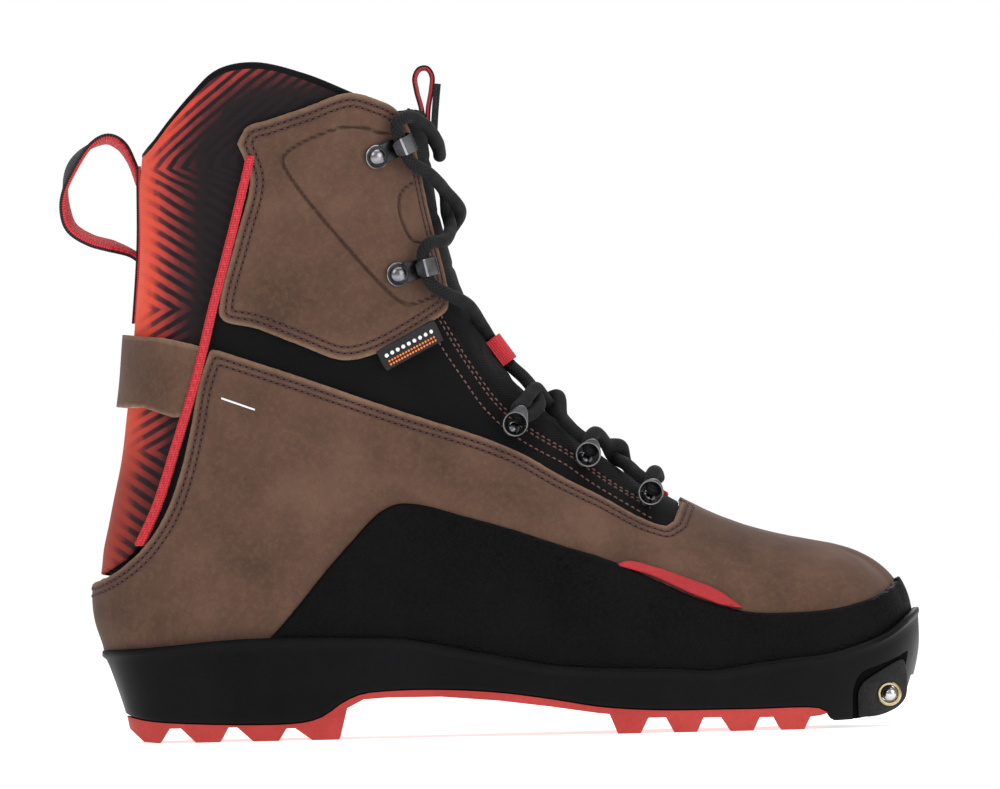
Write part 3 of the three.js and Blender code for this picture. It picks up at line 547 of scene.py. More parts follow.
class Nodes:
    """Node tree of a new material, with short calls for the nodes used here."""

    def __init__(self, name, **shader):
        self.material = bpy.data.materials.new(name)
        self.material.use_nodes = True
        self.tree = self.material.node_tree
        self.shader = self.tree.nodes["Principled BSDF"]
        for key, value in shader.items():
            self.shader.inputs[key.replace("_", " ")].default_value = value
        self.place = self.add("ShaderNodeTexCoord").outputs["Object"]

    def add(self, kind, **settings):
        node = self.tree.nodes.new(kind)
        for key, value in settings.items():
            setattr(node, key, value)
        return node

    def put(self, socket, value):
        if isinstance(value, bpy.types.NodeSocket):
            self.tree.links.new(value, socket)
        else:
            socket.default_value = value

    def noise(self, scale, detail=3, roughness=0.55):
        node = self.add("ShaderNodeTexNoise")
        self.put(node.inputs["Vector"], self.place)
        for key, value in (("Scale", scale), ("Detail", detail), ("Roughness", roughness)):
            node.inputs[key].default_value = value
        return node.outputs["Fac"]

    def cells(self, scale):
        node = self.add("ShaderNodeTexVoronoi")
        self.put(node.inputs["Vector"], self.place)
        node.inputs["Scale"].default_value = scale
        return node.outputs["Distance"]

    def number(self, name):
        return self.add("ShaderNodeAttribute", attribute_name=name).outputs["Fac"]

    def axis(self, letter):
        node = self.add("ShaderNodeSeparateXYZ")
        self.put(node.inputs[0], self.place)
        return node.outputs[letter]

    def math(self, operation, a, b=0.0, c=0.0):
        node = self.add("ShaderNodeMath", operation=operation)
        for socket, value in zip(node.inputs, (a, b, c)):
            self.put(socket, value)
        return node.outputs[0]

    def wave(self, value, period):
        """0 to 1 and back over each period of a value."""
        turn = self.math("MULTIPLY", value, 2 * math.pi / period)
        return self.math("MULTIPLY_ADD", self.math("SINE", turn), 0.5, 0.5)

    def ramp(self, value, *stops, smooth=False):
        node = self.add("ShaderNodeValToRGB")
        node.color_ramp.interpolation = "EASE" if smooth else "LINEAR"
        band = node.color_ramp.elements
        while len(band) < len(stops):
            band.new(0.5)
        for element, (place, colour) in zip(band, stops):
            element.position = place
            element.color = paint(colour) if isinstance(colour, str) else (colour,) * 3 + (1,)
        self.put(node.inputs[0], value)
        return node.outputs[0]

    def shades(self, value, dark, light):
        return self.ramp(value, (0.3, dark), (0.7, light))

    def blend(self, share, a, b):
        node = self.add("ShaderNodeMix", data_type="RGBA")
        self.put(node.inputs[0], share)
        self.put(node.inputs[6], paint(a) if isinstance(a, str) else a)
        self.put(node.inputs[7], paint(b) if isinstance(b, str) else b)
        return node.outputs[2]

    def bump(self, height, distance, strength=1.0):
        node = self.add("ShaderNodeBump")
        node.inputs["Strength"].default_value = strength
        node.inputs["Distance"].default_value = distance / 1000
        self.put(node.inputs["Height"], height)
        if hasattr(self, "normal"):
            self.put(node.inputs["Normal"], self.normal)
        self.normal = node.outputs[0]
        return self

    def done(self, colour, roughness):
        self.put(self.shader.inputs["Base Color"], colour)
        self.put(self.shader.inputs["Roughness"], roughness)
        if hasattr(self, "normal"):
            self.put(self.shader.inputs["Normal"], self.normal)
        return self.material


def leather_material():
    """Nubuck; reads how far a point is from the leather's edge, and how much painted shade a seam or groove lays
    on it.
    """
    n = Nodes("nubuck", Sheen_Weight=0.06, Sheen_Roughness=0.5, Specular_IOR_Level=0.16)
    clouds = n.noise(28, 4, 0.6)
    nap = n.noise(420, 4, 0.7)
    fine = n.noise(2400, 2)
    base = n.ramp(clouds, (0.3, "49352A"), (0.5, "594135"), (0.72, "6A5041"))
    base = n.blend(n.ramp(nap, (0.45, 0.0), (0.8, 0.35)), base, "7A604E")
    base = n.blend(n.ramp(fine, (0.3, 0.35), (0.55, 0.0)), base, "443127")
    near_edge = n.ramp(n.math("MULTIPLY", n.number("edge"), 0.25), (0.05, 1.0), (0.45, 0.0))
    base = n.blend(n.math("MULTIPLY", near_edge, nap), base, "8F745F")
    # painted shade: darker brown in the seams and grooves, where shade falls
    base = n.blend(n.math("MULTIPLY", n.number("painted_shade"), 0.78), base, "2A1D18")
    n.bump(n.noise(90, 3), 0.25, 0.5)
    n.bump(fine, 0.07, 0.8)
    return n.done(base, n.shades(nap, 0.72, 0.92))


def cut_edge_material():
    n = Nodes("leather_cut_edge", Specular_IOR_Level=0.2)
    fibres = n.noise(900, 3, 0.7)
    n.bump(fibres, 0.1)
    return n.done(n.shades(fibres, "8A6E5A", "B4977F"), n.shades(fibres, 0.8, 0.95))


def cloth_material(name, dark, light, thread, sheen=0.05, fuzz=0.35):
    """Woven or knitted cloth with threads of a given pitch in metres."""
    n = Nodes(name, Sheen_Weight=sheen, Sheen_Roughness=0.45, Specular_IOR_Level=0.1)
    slope = n.math("ADD", n.axis("X"), n.axis("Y"))
    weft = n.wave(n.axis("Z"), thread)
    warp = n.wave(slope, thread)
    weave = n.math("MULTIPLY", warp, weft)
    lint = n.noise(1500, 3, 0.7)
    shade = n.math("ADD", n.math("MULTIPLY", weave, 1 - fuzz), n.math("MULTIPLY", lint, fuzz))
    patches = n.noise(45, 3)
    colour = n.blend(n.ramp(patches, (0.35, 0.0), (0.7, 0.5)), n.ramp(shade, (0.15, dark), (0.8, light)), light)
    n.bump(weave, 0.12, 0.7)
    n.bump(lint, 0.06, 0.6)
    return n.done(colour, n.shades(lint, 0.75, 0.95))


PRINT_TOP = 260  # height of the print's top edge
PRINT_FOLDS = (162, 52.5)  # height of the lowest fold of the stripes, and from fold to fold
PRINT_PERIOD = 4.7
PRINT_REACH = 27  # how far the orange reaches in from the back seam and the rim


def print_material():
    """Orange at the back seam and rim, fading to black, with dark stripes that fold into chevrons."""
    n = Nodes("chevron_print", Sheen_Weight=0.05, Sheen_Roughness=0.5, Specular_IOR_Level=0.15)
    back, height, inward = n.number("back"), n.number("height"), n.number("inward")
    share = n.math("MULTIPLY", height, 1 / PRINT_TOP)
    fold = n.math("PINGPONG", n.math("SUBTRACT", height, PRINT_FOLDS[0]), PRINT_FOLDS[1])
    slant = n.math("MULTIPLY", back, n.ramp(share, (0.8, 0.58), (0.84, 0.84)))
    wobble = n.math("MULTIPLY", n.noise(60, 2), 1.6)
    stripe = n.wave(n.math("ADD", n.math("ADD", fold, slant), wobble), PRINT_PERIOD)
    uneven = n.math("MULTIPLY_ADD", n.noise(90, 4, 0.7), 9.0, -4.5)
    fade = n.math("MULTIPLY", n.math("ADD", inward, uneven), 1 / PRINT_REACH)
    glow = n.ramp(fade, (0.0, "E4573A"), (0.2, "D84B38"), (0.42, "A83A36"), (0.64, "572527"), (0.86, "241718"),
                  (1.0, "161214"))
    dark = n.ramp(fade, (0.0, "E4573A"), (0.14, "D24936"), (0.32, "55252A"), (0.5, "1C1517"))
    colour = n.blend(n.ramp(stripe, (0.2, 0.0), (0.85, 1.0), smooth=True), glow, dark)
    low = n.ramp(share, (0.38, 1.0), (0.52, 0.0))
    colour = n.blend(n.math("MULTIPLY", low, 0.6), colour, "1C1315")
    rib = n.wave(height, 0.7)
    n.bump(n.math("MULTIPLY", rib, n.wave(n.number("edge"), 0.9)), 0.06, 0.5)
    n.bump(n.noise(2000, 2), 0.05, 0.5)
    return n.done(colour, n.ramp(rib, (0.2, 0.7), (0.8, 0.85)))


def webbing_material(name, dark, light):
    """Ribbed tape; reads its place across and along the tape."""
    n = Nodes(name, Sheen_Weight=0.1, Sheen_Roughness=0.4, Specular_IOR_Level=0.2)
    rib = n.wave(n.number("along"), 0.9)
    cord = n.wave(n.number("across"), 0.8)
    weave = n.math("MULTIPLY", rib, cord)
    lint = n.noise(1800, 3, 0.7)
    tone = n.math("ADD", n.math("MULTIPLY", weave, 0.6), n.math("MULTIPLY", lint, 0.5))
    colour = n.ramp(tone, (0.2, dark), (0.75, light))
    n.bump(weave, 0.14, 0.8)
    n.bump(lint, 0.04, 0.5)
    return n.done(colour, n.shades(lint, 0.62, 0.85))


def rubber_material(name, dark, light, grain=0.0, scale=900, roughness=(0.42, 0.6), shine=0.12):
    """Moulded rubber; grain is the depth of its pebbles in mm."""
    n = Nodes(name, Specular_IOR_Level=shine)
    dust = n.noise(35, 5, 0.65)
    speck = n.noise(700, 3, 0.7)
    tone = n.math("ADD", n.math("MULTIPLY", dust, 0.7), n.math("MULTIPLY", speck, 0.3))
    if grain:
        pebble = n.cells(scale)
        n.bump(n.ramp(pebble, (0.0, 1.0), (0.65, 0.0), smooth=True), grain)
        # painted shade: darker in the low ground between the pebbles
        tone = n.math("SUBTRACT", tone, n.math("MULTIPLY", pebble, 0.15))
    n.bump(speck, 0.04, 0.6)
    return n.done(n.shades(tone, dark, light), n.shades(dust, *roughness))


def metal_material(name, dark, light, roughness=(0.25, 0.45), grit=0.03):
    n = Nodes(name, Metallic=1.0)
    cloud = n.noise(160, 4, 0.6)
    fine = n.noise(3500, 2)
    n.bump(fine, grit, 0.7)
    return n.done(n.shades(cloud, dark, light), n.shades(fine, *roughness))


def thread_material(name, dark, light):
    n = Nodes(name, Specular_IOR_Level=0.4)
    twist = n.noise(2600, 2)
    n.bump(twist, 0.05)
    return n.done(n.shades(twist, dark, light), n.shades(twist, 0.45, 0.7))


def braid_material():
    """Braided lace; reads how high a point stands on its strand, and paints the tops of the strands lighter and
    the hollows between them darker: painted highlight and shade.
    """
    n = Nodes("lace_braid", Sheen_Weight=0.05, Sheen_Roughness=0.5, Specular_IOR_Level=0.2)
    fuzz = n.noise(2600, 3, 0.7)
    # painted highlight on the strands' tops, painted shade in the hollows between them
    tone = n.math("ADD", n.math("MULTIPLY", n.number("over"), 0.7), n.math("MULTIPLY", fuzz, 0.3))
    n.bump(fuzz, 0.06, 0.6)
    return n.done(n.ramp(tone, (0.4, "020202"), (0.85, "1E1E21")), n.shades(fuzz, 0.65, 0.85))


def plain_material(name, dark, light, scale=400, roughness=(0.7, 0.9), **shader):
    """Board, label and other quiet stuff with a fine grain."""
    n = Nodes(name, Specular_IOR_Level=0.3, **shader)
    grain = n.noise(scale, 4, 0.65)
    n.bump(grain, 0.08)
    return n.done(n.shades(grain, dark, light), n.shades(grain, *roughness))


LEATHER = leather_material()
CUT_EDGE = cut_edge_material()
SOFT_BLACK = cloth_material("black_stretch_cloth", "040405", "121214", 0.0007, fuzz=0.6)
BINDING_BLACK = cloth_material("binding_knit", "040405", "161618", 0.0009)
TONGUE_BLACK = cloth_material("tongue_cloth", "040405", "151517", 0.0009)
LINING = cloth_material("lining_mesh", "141416", "38383C", 0.0012)
PRINT = print_material()
WEB_RED = webbing_material("webbing_red", "A41E26", "D8414A")
WEB_BLACK = webbing_material("webbing_black", "0D0D0E", "323234")
RAND_RUBBER = rubber_material("rand_pebbled_rubber", "040405", "101012", grain=0.2, scale=1000,
                              roughness=(0.45, 0.6), shine=0.07)
SOLE_RUBBER = rubber_material("sole_rubber", "050506", "101012", roughness=(0.38, 0.52), shine=0.08)
# lighter grey than the sole: partly the plate's own tone, partly painted light making up for the shade in its
# pocket
PLATE_RUBBER = rubber_material("toe_plate_rubber", "2A2A2B", "444446", grain=0.08, scale=1500,
                               roughness=(0.5, 0.65))
RED_RUBBER = rubber_material("outsole_rubber", "9E3230", "BC4640", roughness=(0.45, 0.62))
ACCENT_RUBBER = rubber_material("accent_rubber", "9C2C30", "B63C3E", grain=0.1, scale=1300)
GUNMETAL = metal_material("gunmetal", "1C1C1E", "444448")
# painted light: a rougher, lighter copy of the hook metal for the faces that catch the lamps
PAINTED_LIT_METAL = metal_material("rough_metal_painted_lit", "3C3C3F", "666669", roughness=(0.45, 0.6), grit=0.12)
# lighter than the hook metal: partly the rivets' own tone, partly painted highlight on domes that sit in shade
RIVET = metal_material("rivet_head", "4C4C50", "98989C", roughness=(0.2, 0.34))
# painted highlight: a lighter copy of the hook metal, on rims and edges that catch the lamps
PAINTED_HIGHLIGHT_METAL = metal_material("metal_painted_highlight", "747477", "A6A6A8", roughness=(0.3, 0.45))
STEEL = metal_material("bar_steel", "A9A9AC", "DADADC", roughness=(0.18, 0.3))
BRASS = metal_material("ferrule_brass", "BCA878", "E4D8B4", roughness=(0.25, 0.4))
CORD = braid_material()
PLUM = thread_material("plum_thread", "2E181B", "5A3838")
PINK = thread_material("pink_thread", "4A332E", "7A594F")
# painted shade of the needle holes
HOLE_SHADE = plain_material("needle_hole", "040303", "100B0A", 1500)
BOARD = plain_material("fibre_board", "9C8C70", "C2B394", 250)
LABEL = plain_material("label_black", "101012", "1E1E20", 900, roughness=(0.5, 0.6))
DOT_ORANGE = plain_material("label_orange", "D96A2C", "F08A44", 900, roughness=(0.5, 0.6))
# white of the label's printed dots, also used for the painted highlight dash
WHITE_PRINT_AND_HIGHLIGHT = plain_material("label_white_and_highlight", "D8D8D6", "F2F2F0", 900, roughness=(0.5, 0.6))
FLOOR = plain_material("pale_floor", "EDEDED", "F4F4F4", 3, roughness=(0.6, 0.7),
                       Emission_Color=(1, 1, 1, 1), Emission_Strength=0.7)

# ---------------------------------------------------------------- camera, light and floor

VIEW_CENTRE = row((150.4, 0, 127.4))
VIEW_WIDTH = 0.375  # m across the picture at the boot's middle
VIEW_TILT = math.radians(1.3)
LENS = 800  # long enough for a view that is nearly square on
SENSOR = 36

camera_data = bpy.data.cameras.new("camera")
camera_data.lens = LENS
camera_data.sensor_width = SENSOR
camera = bpy.data.objects.new("camera", camera_data)
bpy.context.scene.collection.objects.link(camera)
camera.location = (VIEW_CENTRE[0], -VIEW_WIDTH * LENS / SENSOR, VIEW_CENTRE[2])
camera.rotation_euler = (Matrix.Rotation(VIEW_TILT, 3, "Y") @ Matrix.Rotation(math.pi / 2, 3, "X")).to_euler()
bpy.context.scene.camera = camera


def light(name, place, aim, size, power):
    data = bpy.data.lights.new(name, "AREA")
    data.shape = "DISK"
    data.size = size
    data.energy = power
    lamp = bpy.data.objects.new(name, data)
    lamp.location = place
    lamp.rotation_euler = (Vector(aim) - Vector(place)).to_track_quat("-Z", "Y").to_euler()
    bpy.context.scene.collection.objects.link(lamp)


light("key", (-0.55, -0.95, 0.95), aim=(0, 0, 0.1), size=0.9, power=5.6)
light("fill", (0.95, -0.8, 0.5), aim=(0, 0, 0.1), size=0.9, power=4.9)
light("top", (0.2, 0.0, 1.3), aim=(0.05, 0, 0.1), size=1.1, power=6.6)
light("back", (0.1, 1.1, 0.7), aim=(0, 0, 0.12), size=1.0, power=4)

AMBIENT = 0.4  # how much light the white surroundings give

world = bpy.data.worlds.new("studio")
world.use_nodes = True
backdrop = world.node_tree.nodes["Background"]
backdrop.inputs["Color"].default_value = (1, 1, 1, 1)
# The backdrop is white where the camera sees it, and lights the boot less than that.
seen = world.node_tree.nodes.new("ShaderNodeLightPath")
brighter = world.node_tree.nodes.new("ShaderNodeMath")
brighter.operation = "MULTIPLY_ADD"
brighter.inputs[1].default_value = 1 - AMBIENT
brighter.inputs[2].default_value = AMBIENT
world.node_tree.links.new(seen.outputs["Is Camera Ray"], brighter.inputs[0])
world.node_tree.links.new(brighter.outputs[0], backdrop.inputs["Strength"])
bpy.context.scene.world = world
bpy.context.scene.view_settings.view_transform = "Standard"

FLOOR_HALF = 6000  # mm
FLOOR_CORNERS = np.array([(-1, -1, 0), (1, -1, 0), (1, 1, 0), (-1, 1, 0)]) * FLOOR_HALF
floor = make("floor", (FLOOR_CORNERS - SHIFT, [[0, 1, 2, 3]]), [FLOOR], body=None)

# ---------------------------------------------------------------- side-view outlines

RIM = smooth([
    (6, 217), (14, 220), (20, 225), (27, 233), (36, 242.5), (46, 251), (60, 253.5), (80, 249),
    (100, 241), (118, 233.5), (140, 225)])
PIPE_LINE = smooth([
    (64, 236), (59.2, 217.5), (51.6, 189), (44.2, 163), (36.4, 134), (28.8, 111), (21, 88.5), (14, 74)])
CUFF = smooth([
    (54.5, 223), (58, 229), (66, 231.5), (79, 235.5), (97, 241), (107, 238.5), (114, 235), (119, 228),
    (122, 216), (125, 200), (128.5, 184), (132, 168), (132, 160), (127, 156), (104, 143.5), (92, 141.5),
    (77, 147), (60, 154), (47, 157.8), (46.5, 164), (53, 187), (59, 209), (57, 217), (54.5, 223)])
CUFF_TOP = smooth([(61.5, 229), (66, 229.3), (79, 233), (97, 238.2), (107, 236), (113, 232.5), (119, 226)])
LOWER_REAR = smooth([
    (-12, 58), (-3, 60.5), (7, 65.5), (16, 73.5), (24, 85), (30, 100), (34.5, 117), (38, 134), (42.5, 146.5)])
LOWER_FRONT = smooth([
    (46, 146), (76, 135.5), (113, 122), (143, 112), (158, 105.5), (173, 96.5), (188, 88.5), (203, 80),
    (211, 77)])
THROAT = [(214.5, 79), (217.5, 86), (219, 100)]
TONGUE_EDGE = smooth([
    (132, 158), (137, 149), (144, 138), (151, 128), (159, 120), (168, 113.5), (178, 107.3), (190, 98.3),
    (207.5, 87)])
CUFF_FRONT = smooth([(122, 218), (124.5, 203), (127, 190), (130, 172), (131, 163)])
RAND_TOP = smooth([
    (60, 36), (66, 42), (74, 51), (84, 63), (95, 75), (104, 84), (111, 87.3), (120, 86.8), (135, 82.5),
    (152, 77.5), (172, 70.5), (190, 64.5), (205, 57.5), (220, 50.5), (231, 46.5), (242, 44), (258, 43.5),
    (273, 44.5), (287, 48), (295, 52.5), (300, 58), (312, 60)])
ACCENT = np.vstack([
    smooth([(192, 62.5), (196, 64), (206, 61.5), (218, 57), (230, 52), (240, 44.8)]),
    smooth([(230, 47.2), (219, 51.7), (205, 58.5), (192, 62.5)])[:-1]])
LINING_FRONT = smooth([
    (94, 268), (94, 235), (92, 200), (96, 165), (108, 138), (132, 112), (160, 90), (196, 74), (222, 66)])
TONGUE_BACK = smooth([
    (106, 262), (106, 225), (108, 200), (112, 175), (120, 152), (134, 130), (152, 109), (178, 88), (206, 70)])


def moved(line, dx=0.0, dz=0.0):
    return np.asarray(line) + (dx, dz)


def last_line(rise, start=-20, end=330):
    x = np.arange(start, end + 1, 5.0)
    return np.column_stack([x, last_z(x) + rise])


def outline(*parts):
    return np.vstack([np.asarray(p, float).reshape(-1, 2) for p in parts])


# ---------------------------------------------------------------- stitching

STITCH = {"pitch": 2.45, "length": 1.75, "radius": 0.34}
# Shares of the length along, of the radius, and of 0.8 mm up, from one end of a stitch to the other.
STITCH_RINGS = ((-0.5, 0.3, -0.45), (-0.4, 0.8, -0.1), (-0.15, 1.0, 0.12), (0.15, 1.0, 0.12), (0.4, 0.8, -0.1),
                (0.5, 0.3, -0.45))
HOLE_RINGS = ((0.5, -0.2), (0.52, 0.04), (0.3, 0.1))  # radius and height over the leather


def stitch_places(patch, line, share):
    """Places, outward directions and ways of the stitches of a row, share of a pitch further on."""
    base = patch.points[line] + patch.normals[line] * patch.raised[line][:, None]
    places = np.hstack([base, patch.normals[line]])
    length = np.concatenate([[0], np.cumsum(np.linalg.norm(np.diff(base, axis=0), axis=1))])
    count = max(int(length[-1] / STITCH["pitch"]), 1)
    at = (np.arange(count) + share) * length[-1] / count
    here, ahead, behind = (
        np.column_stack([np.interp(at + d, length, places[:, k]) for k in range(6)]) for d in (0, 0.4, -0.4))
    out = unit(here[:, 3:])
    way = ahead[:, :3] - behind[:, :3]
    return zip(here[:, :3], out, unit(way - out * (way * out).sum(1, keepdims=True)))


def stitches(patch, rows):
    """Small raised threads along rows, given as lists of the patch's point numbers."""
    parts = []
    turns = circle(6)
    faces = tube_faces(len(STITCH_RINGS), len(turns))
    for line in rows:
        for point, out, way in stitch_places(patch, line, 0.5):
            across = np.cross(way, out)
            rings = []
            for along, wide, high in STITCH_RINGS:
                middle = point + way * along * STITCH["length"] + out * (0.15 + high * 0.8)
                radius = wide * STITCH["radius"]
                rings.append([middle + (across * math.cos(t) + out * math.sin(t)) * radius for t in turns])
            parts.append((np.array(rings).reshape(-1, 3), faces))
    return joined(parts)


def hole_shade_buttons(patch, rows):
    """Low dark buttons between the stitches: painted shade standing for the holes."""
    parts = []
    turns = circle(8)
    faces = tube_faces(len(HOLE_RINGS), len(turns))
    for line in rows:
        for point, out, way in stitch_places(patch, line, 0.0):
            across = np.cross(way, out)
            rings = [[point + out * high + (way * math.cos(t) * 0.95 + across * math.sin(t)) * radius
                      for t in turns] for radius, high in HOLE_RINGS]
            parts.append((np.array(rings).reshape(-1, 3), faces))
    return joined(parts)


def sewn(name, patch, number, levels, material, holes=True):
    """Stitch rows along the lines where one of the patch's numbers has the given levels."""
    rows = [line for level in levels for line in patch.lines(number, level)]
    make(f"{name}_stitches", stitches(patch, rows), [material], sharp=180, slot="cord")
    if holes:
        make(f"{name}_hole_shade_buttons", hole_shade_buttons(patch, rows), [HOLE_SHADE], sharp=180, slot="cord")


# ---------------------------------------------------------------- leather, cloth and rubber of the upper

SEAM_ROWS = (2.6, 4.9)  # distances of the two stitch rows from a leather edge
EYESTAY_ROWS = (2.2, 4.0, 9.5)
SEAM_DENT = 0.28
SEAM_HALF = 0.7
# half width of the painted shade along a seam
SEAM_SHADE_HALF = 0.55
GROOVE_DEPTH = 0.75

# Heights of the layers' faces over the surface; the leather's own face is at 0.
LEATHER_BACK = -1.8
STRETCH_FACE, STRETCH_BACK = -2.1, -3.6
PRINT_FACE, PRINT_BACK = -2.6, -6
TONGUE_FACE, PAD_FACE = -4.4, -6.9  # the collar's padding starts where the tongue's back is


def seam_relief(patch, name="edge", rows=SEAM_ROWS):
    return sum(patch.relief(name, at, SEAM_DENT, SEAM_HALF) for at in rows)


def seam_cuts(patch, name="edge", rows=SEAM_ROWS):
    for at in rows:
        patch.cut(name, at - SEAM_HALF, at, at + SEAM_HALF)


def seam_painted_shade(patch, name="edge", rows=SEAM_ROWS):
    """How much painted shade a seam lays on the leather, 0 to 1."""
    return 0.5 * sum(np.exp(-(((patch.numbers[name] - at) / SEAM_SHADE_HALF) ** 2)) for at in rows)


def lower_leather():
    patch = Patch().bound(outline(LOWER_REAR, LOWER_FRONT, THROAT, [(330, 100), (330, 31)], last_line(0)[::-1]))
    patch.numbers["seam"] = patch.near(outline(LOWER_REAR, LOWER_FRONT, THROAT[:2]), 12)
    seam_cuts(patch, "seam")
    patch.numbers["wave"] = patch.wrinkles(22, 0.35) + patch.wrinkles(7, 0.12)

    def outer(p):
        # painted shade along the seams
        p.numbers["painted_shade"] = seam_painted_shade(p, "seam")
        return seam_relief(p, "seam") + p.numbers["wave"]

    shell("lower_leather_skin", patch, outer, LEATHER_BACK, [LEATHER, CUT_EDGE], slot="leather",
          replaces=["lower_leather"])
    sewn("lower_leather", patch, "seam", SEAM_ROWS, PLUM)


lower_leather()

GROOVE_LONG = smooth([
    (126, 224.2), (111.4, 225.3), (96.5, 228.6), (76, 221.5), (71.2, 217), (73.6, 211), (93.6, 184.8),
    (112, 164.5), (116.5, 161.9), (121, 162.6), (134, 168.5)])
GROOVE_SHORT = smooth([
    (126, 208.4), (118.5, 206.6), (115, 203), (114.6, 197), (116.4, 190.5), (118.7, 186.3), (121.7, 184.6),
    (131, 184.4)])


def cuff(side_name, side):
    patch = Patch(side).bound(CUFF[:-1])
    seam_cuts(patch)
    patch.numbers["groove"] = patch.near(outline(GROOVE_LONG))
    patch.numbers["notch"] = patch.near(outline(GROOVE_SHORT))
    for groove in ("groove", "notch"):
        patch.cut(groove, 0.35, 0.95)
    patch.numbers["wave"] = patch.wrinkles(18, 0.3) + patch.wrinkles(6, 0.1)

    def outer(p):
        groove = np.minimum(p.numbers["groove"], p.numbers["notch"])
        embossed = (1 - smoothstep(0.3, 1.0, groove)) * (p.numbers["edge"] > 6.2)
        # painted shade in the seams and in the embossed grooves
        p.numbers["painted_shade"] = np.minimum(seam_painted_shade(p) + 0.85 * embossed, 1)
        return seam_relief(p) + p.numbers["wave"] - GROOVE_DEPTH * embossed

    shell(f"cuff_skin_{side_name}", patch, outer, LEATHER_BACK, [LEATHER, CUT_EDGE], slot="leather",
          replaces=[f"cuff_leather_{side_name}"])
    sewn(f"cuff_{side_name}", patch, "edge", SEAM_ROWS, PLUM)


def softshell(side_name, side):
    top = CUFF_TOP[(CUFF_TOP[:, 0] > 63)]
    under = moved(LOWER_FRONT[(LOWER_FRONT[:, 0] < 200)], dz=-9)[::-1]
    seam = moved(PIPE_LINE, 0.3)[::-1]
    patch = Patch(side).bound(outline(
        top, CUFF_FRONT, TONGUE_EDGE, [(207, 78)],
        under, [(41, 120), (34, 98), (24, 81)], seam[seam[:, 1] < 228]))
    patch.numbers["eyestay"] = patch.near(TONGUE_EDGE)
    seam_cuts(patch, "eyestay", EYESTAY_ROWS[:2])
    patch.cut("eyestay", EYESTAY_ROWS[2])
    patch.numbers["wave"] = patch.wrinkles(16, 0.35)

    def outer(p):
        return STRETCH_FACE + seam_relief(p, "eyestay", EYESTAY_ROWS[:2]) + p.numbers["wave"]

    shell(f"softshell_skin_{side_name}", patch, outer, STRETCH_BACK, [SOFT_BLACK], slot="black_fabric",
          replaces=[f"softshell_{side_name}"])
    sewn(f"eyestay_{side_name}", patch, "eyestay", EYESTAY_ROWS, PINK, holes=False)


def piping(side_name, side):
    line = PIPE_LINE[PIPE_LINE[:, 1] < 219]
    patch = Patch(side).bound(outline(moved(line, -1.7), moved(line, 1.7)[::-1]))
    patch.numbers["along"] = patch.points[:, 2]
    patch.numbers["across"] = patch.numbers["edge"]
    shell(f"piping_band_{side_name}", patch, outer=0.8, inner=LEATHER_BACK, materials=[WEB_RED], rounding=0.8,
          slot="webbing", replaces=[f"piping_{side_name}"])


def accent(side_name, side):
    patch = Patch(side).bound(ACCENT)
    shell(f"rand_accent_strip_{side_name}", patch, outer=2.5, inner=0.35, materials=[ACCENT_RUBBER],
          rounding=0.8, slot="red_rubber", replaces=[f"rand_accent_{side_name}"])


SIDES = (("lateral", -1), ("medial", 1))
for side_name, side in SIDES:
    cuff(side_name, side)
    softshell(side_name, side)
    piping(side_name, side)
    accent(side_name, side)


def rand():
    patch = Patch().bound(outline(RAND_TOP, [(330, 60), (330, 31)], last_line(0)[::-1]))
    patch.numbers["wave"] = patch.wrinkles(14, 0.2)
    shell("rand_band", patch, lambda p: 1.9 + p.numbers["wave"], 0.1, [RAND_RUBBER], rounding=1.0,
          slot="rubber", replaces=["rand"])


rand()


def collar():
    rim = moved(RIM, dz=-1.6)
    patch = Patch().bound(outline(
        [(-12, 61.5), (-3, 64), (7, 69), (13, 75)], moved(PIPE_LINE[PIPE_LINE[:, 1] < 228], -0.3)[::-1],
        CUFF_TOP, [(121, 229)], rim[rim[:, 0] < 120][::-1], [(-12, 214)]))
    patch.numbers["back"] = patch.points[:, 0] - back_x(patch.points[:, 2])
    patch.numbers["height"] = patch.points[:, 2]
    patch.numbers["inward"] = np.minimum(patch.numbers["back"], patch.near(rim) + 0.3 * patch.numbers["back"])
    patch.numbers["wave"] = patch.wrinkles(20, 0.4)

    def outer(p):
        return PRINT_FACE + 0.7 * smoothstep(0, 12, p.numbers["edge"]) + p.numbers["wave"]

    shell("collar_print", patch, outer, PRINT_BACK, [PRINT, BINDING_BLACK, LINING], rounding=0.8,
          slot="print_fabric", replaces=["collar_rear"])


collar()


def heel_strap():
    front = moved(PIPE_LINE, 0.6)
    front = front[(front[:, 1] < 148) & (front[:, 1] > 122)]
    patch = Patch().bound(outline(
        [(-10, 126.5), (-10, 151), (10, 152.5), (24, 151.5), (36, 148.5)], front, [(29, 121.5), (18, 125.5)]))
    patch.numbers["wave"] = patch.wrinkles(15, 0.3)

    def outer(p):
        """Thin where it runs in under the piping."""
        return mix(0.1, 2.4, smoothstep(1.6, 6, p.near(front))) + p.numbers["wave"]

    shell("heel_strap_leather", patch, outer, LEATHER_BACK, [LEATHER, CUT_EDGE], rounding=0.6,
          slot="leather", replaces=["heel_strap"])


heel_strap()


BINDING = {"wide": 1.35, "high": 1.4, "inward": 3.6}  # half its width and height, and how far in it lies
SHAFT_MIDDLE = (75.0, 0.0, 0.0)


def rim_binding():
    """Rolled edge round the collar, from one side of the tongue round the back to the other."""
    line = moved(RIM[RIM[:, 0] < 104], dz=-BINDING["high"])
    inside = line[inside_section(line[:, 0], line[:, 1]) > 0.002]
    path = np.vstack([lift(inside[::-1], -1), lift(inside, 1)])
    path = smooth(path[::4], 1.5)
    out = path - np.array(SHAFT_MIDDLE)
    out[:, 2] = 0
    out /= np.linalg.norm(out, axis=1, keepdims=True)
    path = path - out * BINDING["inward"]
    turn = circle(14)
    section = np.column_stack([BINDING["wide"] * np.cos(turn), BINDING["high"] * np.sin(turn)])
    solid("collar_binding_roll", sweep(path, lambda i: section, up=(0, 0, 1)), [BINDING_BLACK],
          slot="black_fabric", replaces=["collar_binding"])


rim_binding()

# ---------------------------------------------------------------- sole

